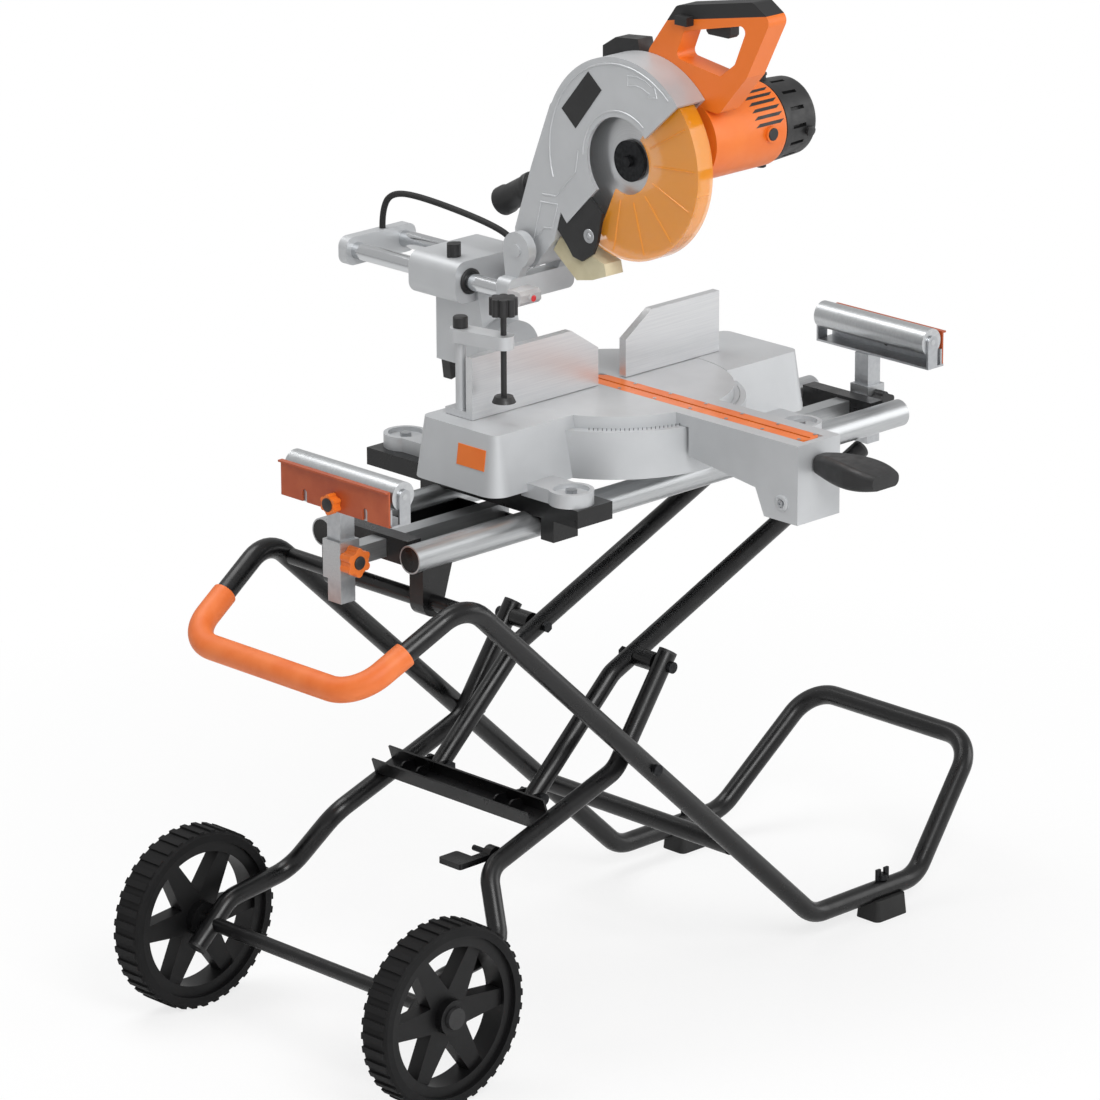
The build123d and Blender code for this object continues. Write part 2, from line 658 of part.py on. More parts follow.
# Shallow tray between the rails at the left end
tray_length = TRAY[1] - TRAY[0]
tray_width = 2 * rail_inner_y - 2 * FIT
with BuildPart() as tray:
    with Locations((TRAY[0] + tray_length / 2, 0, TRAY_Z)):
        Box(tray_length, tray_width, RAIL_Z - TRAY_Z, align=STANDING)
        with Locations((0, 0, TRAY_WALL)):
            tray_room = (tray_length - 2 * TRAY_WALL, tray_width - 2 * TRAY_WALL, RAIL_Z)
            Box(*tray_room, align=STANDING, mode=Mode.SUBTRACT)
    with Locations((TRAY[0] + tray_length / 2, ARM_Y, RAIL_Z)):
        Box(2 * tray_length, arm_hole, arm_hole, mode=Mode.SUBTRACT)
keep(tray.part, "tray")

# Brackets across the rails that carry the saw's feet
bracket_length = BRACKET_Y[1] - BRACKET_Y[0]
bracket_mid = (BRACKET_Y[0] + BRACKET_Y[1]) / 2
jaw_y = RAIL_Y + RAIL / 2 + SEAT
brackets = []
for side in (-1, 1):
    with BuildPart() as bracket:
        with Locations((side * BRACKET_X, bracket_mid, FOOT_SEAT_Z)):
            Box(BRACKET[0], bracket_length, BRACKET[1], align=(Align.CENTER, Align.CENTER, Align.MAX))
        for jaw in (-1, 1):
            with Locations((side * BRACKET_X, jaw * (jaw_y + BRACKET[1] / 2), FOOT_SEAT_Z)):
                jaw_size = (BRACKET[0] * 0.7, BRACKET[1], FOOT_SEAT_Z - BRACKET_JAW_Z)
                Box(*jaw_size, align=(Align.CENTER, Align.CENTER, Align.MAX))
        for rail_side in (-1, 1):
            with Locations((side * BRACKET_X, rail_side * RAIL_Y, RAIL_Z)):
                Cylinder(RAIL / 2 + FIT, 2 * BRACKET[0], rotation=(0, 90, 0), mode=Mode.SUBTRACT)
        with Locations(*[(side * x, y, FOOT_SEAT_Z) for x, y in FOOT_HOLES]):
            Cylinder(FOOT_HOLE / 2, 2 * BRACKET[1], mode=Mode.SUBTRACT)
    brackets.append(bracket)
keep(group(*brackets), "saw_brackets")


def star_knob(plane, radius, depth, lobes, shank, shank_length):
    """A lobed hand knob with its screw behind it."""
    with BuildPart() as knob:
        with BuildSketch(plane):
            Circle(0.8 * radius)
            with PolarLocations(0.72 * radius, lobes):
                Circle(0.28 * radius)
        extrude(amount=depth)
        with BuildSketch(plane):
            Circle(shank / 2)
        extrude(amount=-shank_length)
    return knob


# Work supports at both ends: arm, post, roller and stop plate
sleeve = ARM_BAR + 2 * SLEEVE_WALL + 2 * SEAT
roller_length = ROLLER_Y[1] - ROLLER_Y[0]
yoke_length = roller_length + 2 * YOKE_WALL + 2 * SEAT
roller_mid = (ROLLER_Y[0] + ROLLER_Y[1]) / 2
for side, end in ((-1, "left"), (1, "right")):
    arm_run = ARM_LENGTH - sleeve / 2
    with BuildPart() as support_arm:
        with Locations((side * (SUPPORT_X - ARM_LENGTH / 2 - sleeve / 4), ARM_Y, RAIL_Z)):
            Box(arm_run, ARM_BAR, ARM_BAR)
            Box(2 * arm_run, ARM_BAR - 2 * TUBE_WALL, ARM_BAR - 2 * TUBE_WALL, mode=Mode.SUBTRACT)
        with Locations((side * SUPPORT_X, ARM_Y, SLEEVE_Z[0])):
            Box(sleeve, sleeve, SLEEVE_Z[1] - SLEEVE_Z[0], align=STANDING)
        with Locations((side * SUPPORT_X, ARM_Y, RAIL_Z)):
            Box(arm_hole, arm_hole, 8 * ARM_BAR, mode=Mode.SUBTRACT)
        with Locations((side * SUPPORT_X, ARM_Y - sleeve / 2, RAIL_Z)):
            Cylinder(bolt_hole, sleeve / 2, rotation=(90, 0, 0), mode=Mode.SUBTRACT)
    keep(support_arm.part, f"support_arm_{end}")

    knob_plane = Plane(origin=(side * SUPPORT_X, ARM_Y - sleeve / 2 - SEAT, RAIL_Z), z_dir=(0, -1, 0))
    height_knob = star_knob(knob_plane, KNOB_RADIUS, KNOB_DEPTH, KNOB_LOBES, BOLT, SLEEVE_WALL + SEAT)
    keep(height_knob.part, f"height_knob_{end}")

    tab_x = SUPPORT_X + ROLLER / 2 + SEAT
    with BuildPart() as post:
        with Locations((side * SUPPORT_X, ARM_Y, POST_Z[0])):
            Box(ARM_BAR, ARM_BAR, POST_Z[1] - POST_Z[0], align=STANDING)
            Box(
                ARM_BAR - 2 * TUBE_WALL,
                ARM_BAR - 2 * TUBE_WALL,
                2 * (POST_Z[1] - POST_Z[0]) - 8 * TUBE_WALL,
                align=(Align.CENTER, Align.CENTER, Align.CENTER),
                mode=Mode.SUBTRACT,
            )
        with BuildSketch(Plane.XY.offset(POST_Z[1])):
            with Locations((side * (SUPPORT_X + tab_x + YOKE_WALL - ROLLER / 4) / 2, roller_mid)):
                Rectangle(tab_x + YOKE_WALL + ROLLER / 4 - SUPPORT_X, yoke_length)
        extrude(amount=YOKE_WALL)
        for cheek in (-1, 1):
            cheek_y = roller_mid + cheek * (roller_length / 2 + SEAT + YOKE_WALL / 2)
            cheek_origin = (side * SUPPORT_X, cheek_y, POST_Z[1])
            with BuildSketch(Plane(origin=cheek_origin, x_dir=(1, 0, 0), z_dir=(0, -1, 0))):
                with Locations((0, (ROLLER_Z - POST_Z[1]) / 2)):
                    Rectangle(ROLLER / 2, ROLLER_Z - POST_Z[1])
                with Locations((0, ROLLER_Z - POST_Z[1])):
                    Circle(ROLLER / 4)
                    Circle(BOLT / 2 + FIT, mode=Mode.SUBTRACT)
            extrude(amount=YOKE_WALL / 2, both=True)
        with Locations((side * (tab_x + YOKE_WALL / 2), roller_mid, POST_Z[1])):
            Box(YOKE_WALL, roller_length, STOP_PLATE[1] / 2, align=STANDING)
        with Locations((side * tab_x, roller_mid, POST_Z[1] + STOP_PLATE[1] / 4)):
            Cylinder(BOLT / 2 + FIT, 4 * YOKE_WALL, rotation=(0, 90, 0), mode=Mode.SUBTRACT)
    keep(post.part, f"support_post_{end}")

    with BuildPart() as roller:
        with BuildSketch(Plane(origin=(side * SUPPORT_X, ROLLER_Y[0], ROLLER_Z), z_dir=(0, 1, 0))):
            Circle(ROLLER / 2)
        extrude(amount=roller_length)
        with BuildSketch(Plane(origin=(side * SUPPORT_X, ROLLER_Y[0], ROLLER_Z), z_dir=(0, 1, 0))):
            Circle(BOLT / 2)
        axle_reach = YOKE_WALL + 2 * SEAT
        extrude(amount=-axle_reach)
        with BuildSketch(Plane(origin=(side * SUPPORT_X, ROLLER_Y[1], ROLLER_Z), z_dir=(0, 1, 0))):
            Circle(BOLT / 2)
        extrude(amount=axle_reach)
    keep(roller.part, f"roller_{end}")

    plate_x = tab_x + YOKE_WALL + SEAT
    plate_low = POST_Z[1] + 2 * SEAT
    with BuildPart() as stop_plate:
        with Locations((side * (plate_x + STOP_PLATE[0] / 2), roller_mid, plate_low)):
            Box(STOP_PLATE[0], roller_length, STOP_PLATE[1], align=STANDING)
        lip = 3 * STOP_PLATE[0]
        with Locations((side * (plate_x + lip / 2), roller_mid, plate_low + STOP_PLATE[1])):
            Box(lip, roller_length, STOP_PLATE[0], align=(Align.CENTER, Align.CENTER, Align.MAX))
        for share in (-0.28, 0.0, 0.28):
            slot_y = roller_mid + share * roller_length
            slot_z = POST_Z[1] + STOP_PLATE[1] / 4 - STOP_TRAVEL / 2
            slot_origin = (side * plate_x, slot_y, slot_z)
            with BuildSketch(Plane(origin=slot_origin, x_dir=(0, 0, 1), z_dir=(side, 0, 0))):
                SlotOverall(STOP_TRAVEL + BOLT + 2 * SEAT + 2, BOLT + 2 * SEAT)
            extrude(amount=STOP_PLATE[0] * 2, both=True, mode=Mode.SUBTRACT)
    keep(stop_plate.part, f"stop_plate_{end}")

    stud_z = POST_Z[1] + STOP_PLATE[1] / 4
    stop_face = plate_x + STOP_PLATE[0] + SEAT
    stop_plane = Plane(origin=(side * stop_face, roller_mid, stud_z), z_dir=(side, 0, 0))
    stop_reach = plate_x - tab_x + STOP_PLATE[0]
    stop_knob = star_knob(stop_plane, 0.7 * KNOB_RADIUS, 0.7 * KNOB_DEPTH, KNOB_LOBES, BOLT, stop_reach)
    keep(stop_knob.part, f"stop_knob_{end}")

# Saw base: a cast deck with a round well for the turntable and four bolted feet
deck_mid = (DECK_Y[0] + DECK_Y[1]) / 2
deck_depth = DECK_Y[1] - DECK_Y[0]
deck_height = TABLE_TOP - DECK_LOW
lugs = [(side * x, y) for side in (-1, 1) for x, y in FOOT_HOLES]
well_radius = TURN_RADIUS + SEAT
with BuildPart() as saw_base:
    with BuildSketch(Plane.XY.offset(TABLE_TOP)):
        with Locations((0, deck_mid)):
            RectangleRounded(2 * DECK_X, deck_depth, 14)
    extrude(amount=-deck_height, taper=-DRAFT)
    with BuildSketch(Plane.XY.offset(TABLE_TOP - CAST_WALL)):
        with Locations((0, deck_mid)):
            RectangleRounded(2 * DECK_X - 3 * CAST_WALL, deck_depth - 3 * CAST_WALL, 10)
    extrude(amount=-deck_height, taper=-DRAFT, mode=Mode.SUBTRACT)
    with BuildSketch(Plane.XY.offset(DECK_LOW)):
        with Locations((0, TURN_Y)):
            Circle(well_radius + RING_WALL)
    extrude(amount=RING_TOP - DECK_LOW)
    with BuildSketch(Plane.XY.offset(RING_FLOOR[1])):
        with Locations((0, TURN_Y)):
            Circle(well_radius)
    extrude(amount=TABLE_TOP, mode=Mode.SUBTRACT)
    with BuildSketch(Plane.XY.offset(RING_FLOOR[0])):
        with Locations((0, TURN_Y)):
            Circle(well_radius)
            Circle(TURN_PIN, mode=Mode.SUBTRACT)
    extrude(amount=DECK_LOW - RING_FLOOR[0], mode=Mode.SUBTRACT)
    with Locations((0, TURN_Y, TABLE_TOP)):
        Cylinder(TURN_PIN / 2 + FIT / 2, 4 * deck_height, mode=Mode.SUBTRACT)
    for x, y in lugs:
        deck_side = DECK_Y[0] if y < deck_mid else DECK_Y[1]
        with BuildSketch(Plane.XY.offset(FOOT_SEAT_Z)):
            with Locations((x, y)):
                Circle(FOOT_LUG[0] / 2)
            with Locations((x, (y + deck_side) / 2)):
                Rectangle(0.8 * FOOT_LUG[0], abs(y - deck_side))
        extrude(amount=FOOT_LUG[1] + CAST_WALL)
        with Locations((x, y, FOOT_SEAT_Z + FOOT_LUG[1])):
            Cylinder(FOOT_LUG[0] / 2 - CAST_WALL, FOOT_LUG[1], align=STANDING, mode=Mode.SUBTRACT)
            Cylinder(FOOT_HOLE / 2, 4 * FOOT_LUG[1], mode=Mode.SUBTRACT)
keep(saw_base.part, "saw_base")

base_bolts = []
for x, y in lugs:
    with BuildPart() as base_bolt:
        with BuildSketch(Plane.XY.offset(FOOT_SEAT_Z + FOOT_LUG[1])):
            with Locations((x, y)):
                RegularPolygon(BOLT, 6)
        extrude(amount=head_length)
        with BuildSketch(Plane.XY.offset(FOOT_SEAT_Z + FOOT_LUG[1])):
            with Locations((x, y)):
                Circle(BOLT / 2)
        extrude(amount=-FOOT_LUG[1] - BRACKET[1])
    base_bolts.append(base_bolt)
keep(group(*base_bolts), "base_bolts")

# Fences: two uprights with feet behind them and a step down beside the blade
fences = []
for inner, outer in ((FENCE_LEFT[1], FENCE_LEFT[0]), (FENCE_RIGHT[0], FENCE_RIGHT[1])):
    way = 1 if outer > inner else -1
    step_x = inner + way * FENCE_STEP[0]
    base_z = TABLE_TOP + 2 * SEAT
    with BuildPart() as fence:
        with BuildSketch(Plane(origin=(0, FENCE_Y[0], 0), x_dir=(1, 0, 0), z_dir=(0, -1, 0))):
            with BuildLine():
                Polyline(
                    (inner, base_z),
                    (outer, base_z),
                    (outer, FENCE_TOP),
                    (step_x, FENCE_TOP),
                    (inner, FENCE_STEP[1]),
                    close=True,
                )
            make_face()
        extrude(amount=FENCE_Y[0] - FENCE_Y[1])
        foot_x = outer - way * FENCE_FOOT[0]
        with Locations((foot_x, FENCE_Y[1], base_z)):
            Box(2 * FENCE_FOOT[0], FENCE_FOOT[0], FENCE_FOOT[1], align=(Align.CENTER, Align.MIN, Align.MIN))
        rib_origin = (foot_x - CAST_WALL / 2, FENCE_Y[1], base_z)
        with BuildSketch(Plane(origin=rib_origin, x_dir=(0, 1, 0), z_dir=(1, 0, 0))):
            with BuildLine():
                Polyline((0, 0), (FENCE_FOOT[0], FENCE_FOOT[1]), (0, 0.8 * (FENCE_TOP - base_z)), close=True)
            make_face()
        extrude(amount=CAST_WALL)
    fences.append(fence)
keep(group(*fences), "fences")

# Turntable with the long front arm and the rear bevel hub
turn_low = RING_FLOOR[1] + SEAT
turn_top = TABLE_TOP - SEAT
arm_reach_low = RING_TOP + 2 * SEAT
arm_inner_y = TURN_Y - 0.6 * TURN_RADIUS
with BuildPart() as turntable:
    with BuildSketch(Plane.XY.offset(turn_low)):
        with Locations((0, TURN_Y)):
            Circle(TURN_RADIUS)
    extrude(amount=turn_top - turn_low)
    with BuildSketch(Plane.XY.offset(turn_low)):
        with Locations((0, TURN_Y)):
            Circle(TURN_RADIUS - 2 * CAST_WALL)
            Circle(TURN_PIN, mode=Mode.SUBTRACT)
    extrude(amount=turn_top - turn_low - 2 * CAST_WALL, mode=Mode.SUBTRACT)
    with BuildSketch(Plane.XY.offset(turn_low)):
        with Locations((0, TURN_Y)):
            Circle(TURN_PIN / 2)
    extrude(amount=DECK_LOW - turn_low)
    with BuildSketch(Plane(origin=(0, 0, 0), x_dir=(0, 1, 0), z_dir=(1, 0, 0))):
        with BuildLine():
            Polyline(
                (arm_inner_y, turn_top),
                (arm_inner_y, arm_reach_low),
                (TURN_Y - well_radius - RING_WALL - 2, arm_reach_low),
                (TURN_Y - well_radius - RING_WALL - 2, RING_FLOOR[1] - RING_WALL),
                (ARM_DEEP_Y, RING_FLOOR[0] - 2 * RING_WALL + 8),
                (ARM_DEEP_Y - RING_WALL, ARM_LOW),
                (ARM_END_Y, ARM_LOW),
                (ARM_END_Y, turn_top),
                close=True,
            )
        make_face()
    extrude(amount=ARM_WIDTH / 2, both=True)
    with BuildSketch(Plane(origin=(0, 0, 0), x_dir=(0, 1, 0), z_dir=(1, 0, 0))):
        with BuildLine():
            Polyline(
                (TURN_Y + 0.7 * TURN_RADIUS, turn_top),
                (TURN_Y + 0.7 * TURN_RADIUS, arm_reach_low),
                (BEVEL_HUB_Y[1], arm_reach_low),
                (BEVEL_HUB_Y[1], turn_top),
                close=True,
            )
        make_face()
    extrude(amount=BEVEL_HUB, both=True)
    with BuildSketch(Plane(origin=(0, BEVEL_HUB_Y[0] + RING_WALL - 8, TABLE_TOP), z_dir=(0, 1, 0))):
        Circle(BEVEL_HUB)
    extrude(amount=BEVEL_HUB_Y[1] - BEVEL_HUB_Y[0] - RING_WALL + 8)
    with Locations((0, (INSERT_Y[0] + INSERT_Y[1]) / 2, turn_top)):
        Box(INSERT[0] + 2 * FIT, INSERT_Y[1] - INSERT_Y[0] + 2 * FIT, 2 * INSERT[1], mode=Mode.SUBTRACT)
        Box(3 * KERF, INSERT_Y[1] - INSERT_Y[0] - 2 * KERF, 2 * (turn_top - turn_low), mode=Mode.SUBTRACT)
keep(turntable.part, "turntable")

with BuildPart() as kerf_insert:
    with BuildSketch(Plane.XY.offset(turn_top - INSERT[1])):
        with Locations((0, (INSERT_Y[0] + INSERT_Y[1]) / 2)):
            RectangleRounded(INSERT[0], INSERT_Y[1] - INSERT_Y[0], INSERT[0] / 2 - 1)
            SlotOverall(INSERT_Y[1] - INSERT_Y[0] - 3 * KERF, KERF, rotation=90, mode=Mode.SUBTRACT)
    extrude(amount=INSERT[1])
keep(kerf_insert.part, "kerf_insert")

# Mitre lock handle on the end of the front arm
handle_run = MITRE_HANDLE_Y[0] - MITRE_HANDLE_Y[1]
with BuildPart() as mitre_handle:
    for share, width, height in ((0.0, 30, 26), (0.3, 46, 34), (0.75, 62, 30), (1.0, 50, 20)):
        section = (0, MITRE_HANDLE_Y[0] - share * handle_run, MITRE_HANDLE_Z)
        with BuildSketch(Plane(origin=section, x_dir=(1, 0, 0), z_dir=(0, -1, 0))):
            RectangleRounded(width, height, 9)
    loft()
    with BuildSketch(Plane(origin=(0, MITRE_HANDLE_Y[0], MITRE_HANDLE_Z), z_dir=(0, 1, 0))):
        Circle(BOLT)
    extrude(amount=ARM_END_Y - MITRE_HANDLE_Y[0] - SEAT)
keep(mitre_handle.part, "mitre_handle")

side_view = Plane(origin=(0, 0, 0), x_dir=(0, 1, 0), z_dir=(1, 0, 0))

# Bevel arm: hub, column and the bored housing that the slide rods run in
housing_mid_z = (HOUSING_Z[0] + HOUSING_Z[1]) / 2
rod_bore = SLIDE_ROD / 2 + FIT / 2
with BuildPart() as bevel_arm:
    with BuildSketch(Plane(origin=(0, BEVEL_HUB_Y[1] + SEAT, TABLE_TOP), z_dir=(0, 1, 0))):
        Circle(BEVEL_HUB)
    extrude(amount=BEVEL_HUB_Y[2] - BEVEL_HUB_Y[1])
    with BuildSketch(side_view):
        with BuildLine():
            Polyline(
                (BEVEL_HUB_Y[1] + SEAT, TABLE_TOP - BEVEL_HUB / 2),
                (COLUMN[2], TABLE_TOP - BEVEL_HUB / 2),
                (COLUMN[2], housing_mid_z),
                (HOUSING[1], housing_mid_z),
                (BEVEL_HUB_Y[1] + SEAT, TABLE_TOP + BEVEL_HUB / 2),
                close=True,
            )
        make_face()
    extrude(amount=COLUMN[0] / 2, both=True)
    with BuildSketch(Plane(origin=(0, HOUSING[1], housing_mid_z), x_dir=(1, 0, 0), z_dir=(0, 1, 0))):
        RectangleRounded(HOUSING[0], HOUSING_Z[1] - HOUSING_Z[0], HOUSING_ROUND)
    extrude(amount=HOUSING[2] - HOUSING[1])
    for side in (-1, 1):
        with Locations((side * SLIDE_ROD_X, HOUSING[1], SLIDE_ROD_Z)):
            Cylinder(rod_bore, 4 * HOUSING[2], rotation=(90, 0, 0), mode=Mode.SUBTRACT)
    with Locations((*SLIDE_LOCK, HOUSING_Z[1])):
        Cylinder(bolt_hole, 2 * (HOUSING_Z[1] - SLIDE_ROD_Z), mode=Mode.SUBTRACT)
keep(bevel_arm.part, "bevel_arm")

lever_y = COLUMN[2] + SEAT
with BuildPart() as bevel_lever:
    with BuildSketch(Plane(origin=(0, lever_y, TABLE_TOP), x_dir=(1, 0, 0), z_dir=(0, 1, 0))):
        Circle(0.4 * BEVEL_HUB)
    extrude(amount=LEVER_THICK)
    with BuildSketch(Plane(origin=(0, lever_y, TABLE_TOP), x_dir=(-1, 0, 0), z_dir=(0, 1, 0))):
        with BuildLine():
            Polyline(*LEVER_OUTLINE, close=True)
        make_face()
    extrude(amount=LEVER_THICK)
keep(bevel_lever.part, "bevel_lever")

slide_knob = star_knob(
    Plane.XY.offset(HOUSING_Z[1] + SEAT).move(Location((*SLIDE_LOCK, 0))),
    0.6 * KNOB_RADIUS,
    KNOB_DEPTH,
    2,
    BOLT,
    HOUSING_Z[1] - SLIDE_ROD_Z - SLIDE_ROD / 2,
)
keep(slide_knob.part, "slide_lock_knob")

# Carriage: slide rods with a rear cap and the front bracket that carries the saw head
slide_rods = [
    straight_tube((side, SLIDE_ROD_Y[0], SLIDE_ROD_Z), (side, SLIDE_ROD_Y[1], SLIDE_ROD_Z), SLIDE_ROD)
    for side in (-SLIDE_ROD_X, SLIDE_ROD_X)
]
keep(group(*slide_rods), "slide_rods")

with BuildPart() as rear_cap:
    with BuildSketch(Plane(origin=(0, SLIDE_ROD_Y[1], SLIDE_ROD_Z), x_dir=(1, 0, 0), z_dir=(0, 1, 0))):
        RectangleRounded(REAR_CAP[0], REAR_CAP[2], REAR_CAP_ROUND)
    extrude(amount=REAR_CAP[1])
keep(rear_cap.part, "rear_cap")

block_y = SLIDE_ROD_Y[0] - FIT - BRACKET_BLOCK[1]
block_mid_z = (BRACKET_BLOCK_Z[0] + BRACKET_BLOCK_Z[1]) / 2
with BuildPart() as pivot_bracket:
    with BuildSketch(Plane(origin=(0, block_y, block_mid_z), x_dir=(1, 0, 0), z_dir=(0, 1, 0))):
        RectangleRounded(BRACKET_BLOCK[0], BRACKET_BLOCK_Z[1] - BRACKET_BLOCK_Z[0], BLOCK_ROUND)
    extrude(amount=BRACKET_BLOCK[1])
    for side in (-1, 1):
        with BuildSketch(side_view.offset(side * (EAR[0] + EAR[1]) / 2)):
            with Locations(CHOP):
                Circle(1.4 * CHOP_PIN)
            with BuildLine():
                Polyline(
                    (CHOP[0] - 1.4 * CHOP_PIN, CHOP[1]),
                    (block_y, BRACKET_BLOCK_Z[1]),
                    (block_y, BRACKET_BLOCK_Z[0] + 4),
                    (block_y + BRACKET_BLOCK[1], BRACKET_BLOCK_Z[0] + 4),
                    (block_y + BRACKET_BLOCK[1], BRACKET_BLOCK_Z[1]),
                    (CHOP[0] + 1.4 * CHOP_PIN, CHOP[1]),
                    close=True,
                )
            make_face()
        extrude(amount=(EAR[1] - EAR[0]) / 2, both=True)
    with BuildSketch(Plane(origin=(-EAR[1] - 2, *CHOP), x_dir=(0, 1, 0), z_dir=(1, 0, 0))):
        Circle(CHOP_PIN / 2)
    extrude(amount=2 * EAR[1] + 4)
keep(pivot_bracket.part, "pivot_bracket")

laser_mid = (LASER[0] + LASER[1]) / 2
with BuildPart() as laser:
    with Locations((laser_mid, block_y - FIT, BRACKET_BLOCK_Z[0])):
        Box(LASER[1] - LASER[0], LASER_DEPTH, LASER_HEIGHT, align=(Align.CENTER, Align.MAX, Align.MIN))
    chamfer(laser.edges().filter_by(Axis.X).sort_by(Axis.Y)[:2], LASER_HEIGHT / 4)
    with Locations((laser_mid, block_y - LASER_DEPTH, BRACKET_BLOCK_Z[0] + LASER_HEIGHT / 2)):
        Cylinder(LASER_LENS / 2, LASER_LENS, rotation=(90, 0, 0))
keep(laser.part, "laser_unit")

# Saw head: cast arm and upper guard in one piece, with room for the blade and the lower guard
cavity_radius = GUARD_RADIUS - GUARD_WALL
guard_depth = GUARD_X[1] - GUARD_X[0]


def sector(arc, reach):
    """Corner points of a wedge about the blade's centre, for cutting round plates to an arc."""
    turns = [arc[0] + (arc[1] - arc[0]) * step / 6 for step in range(7)]
    rim = [(reach * math.cos(math.radians(turn)), reach * math.sin(math.radians(turn))) for turn in turns]
    return [(0, 0)] + rim


def blade_plane(x):
    """Plane square to the arbor at this distance along it, seen from the motor side."""
    return Plane(origin=(x, *BLADE_CENTRE), x_dir=(0, 1, 0), z_dir=(1, 0, 0))


with BuildPart() as head:
    with BuildSketch(side_view.offset(GUARD_X[0])):
        with BuildLine():
            Polyline(*ARM_OUTLINE, close=True)
        make_face()
        with Locations(CHOP):
            Circle(1.5 * CHOP_PIN)
    extrude(amount=guard_depth)
    with BuildSketch(blade_plane(GUARD_X[0])):
        with BuildLine():
            Polyline(*sector(GUARD_ARC, 3 * GUARD_RADIUS), close=True)
        make_face()
        Circle(GUARD_RADIUS, mode=Mode.INTERSECT)
    extrude(amount=guard_depth)
    with BuildSketch(blade_plane(GUARD_X[0] + GUARD_WALL)):
        Circle(cavity_radius)
    extrude(amount=guard_depth - 2 * GUARD_WALL, mode=Mode.SUBTRACT)
    with BuildSketch(blade_plane(GUARD_X[0])):
        Circle(GUARD_WINDOW)
    extrude(amount=GUARD_WALL, mode=Mode.SUBTRACT)
    with BuildSketch(blade_plane(GUARD_X[1])):
        Circle(LOWER_GUARD_HUB + LOWER_GUARD_RING)
    extrude(amount=-GUARD_WALL)
    with BuildSketch(blade_plane(GUARD_X[1] - GUARD_WALL)):
        Circle(LOWER_GUARD_HUB - FIT / 2)
    extrude(amount=-(GUARD_X[1] - GUARD_WALL - LOWER_GUARD_X + LOWER_GUARD_WALL))
    with BuildSketch(blade_plane(GUARD_X[1])):
        Circle(ARBOR / 2 + SEAT)
    extrude(amount=-guard_depth, mode=Mode.SUBTRACT)
    with BuildSketch(side_view.offset(GUARD_X[0])):
        with Locations(CHOP):
            Circle(CHOP_PIN / 2 + FIT / 2)
    extrude(amount=guard_depth, mode=Mode.SUBTRACT)
keep(head.part, "head_casting")

# Blade with its teeth, flange and arbor
tooth_turn = 2 * math.pi / BLADE_TEETH
gullet = BLADE / 2 - TOOTH
rim_points = []
for tooth in range(BLADE_TEETH):
    turn = tooth * tooth_turn
    for radius, share in ((gullet, 0.0), (BLADE / 2, 0.25), (BLADE / 2 - 1, 0.6)):
        angle = turn + share * tooth_turn
        rim_points.append((radius * math.cos(angle), radius * math.sin(angle)))
with BuildPart() as blade:
    with BuildSketch(blade_plane(-BLADE_THICK / 2)):
        with BuildLine():
            Polyline(*rim_points, close=True)
        make_face()
        Circle(ARBOR / 2 + FIT, mode=Mode.SUBTRACT)
    extrude(amount=BLADE_THICK)
keep(blade.part, "blade")

flange_face = BLADE_THICK / 2 + FIT
with BuildPart() as arbor:
    for side in (-1, 1):
        with BuildSketch(blade_plane(side * flange_face)):
            Circle(FLANGE / 2)
        extrude(amount=side * FLANGE_DEPTH)
    with BuildSketch(blade_plane(-flange_face - FLANGE_DEPTH)):
        RegularPolygon(BOLT, 6)
    extrude(amount=-FLANGE_DEPTH)
    with BuildSketch(blade_plane(-flange_face)):
        Circle(ARBOR / 2)
    extrude(amount=MOTOR_X[0] + flange_face + ARBOR_REACH)
keep(arbor.part, "arbor")

# Clear lower guard, turning on the boss around the arbor
with BuildPart() as lower_guard:
    with BuildSketch(blade_plane(-LOWER_GUARD_X)):
        with BuildLine():
            Polyline(*sector(LOWER_GUARD_ARC, 3 * GUARD_RADIUS), close=True)
        make_face()
        Circle(LOWER_GUARD_RADIUS, mode=Mode.INTERSECT)
    extrude(amount=2 * LOWER_GUARD_X)
    with BuildSketch(blade_plane(-LOWER_GUARD_X + LOWER_GUARD_WALL)):
        Circle(LOWER_GUARD_RADIUS - LOWER_GUARD_WALL)
    extrude(amount=2 * LOWER_GUARD_X - 2 * LOWER_GUARD_WALL, mode=Mode.SUBTRACT)
    with BuildSketch(blade_plane(-LOWER_GUARD_X)):
        Circle(LOWER_GUARD_WINDOW)
    extrude(amount=LOWER_GUARD_WALL, mode=Mode.SUBTRACT)
    with BuildSketch(blade_plane(LOWER_GUARD_X)):
        Circle(LOWER_GUARD_HUB + LOWER_GUARD_RING)
    extrude(amount=-LOWER_GUARD_WALL)
    with BuildSketch(blade_plane(LOWER_GUARD_X)):
        Circle(LOWER_GUARD_HUB)
    extrude(amount=-LOWER_GUARD_WALL, mode=Mode.SUBTRACT)
keep(lower_guard.part, "lower_guard")

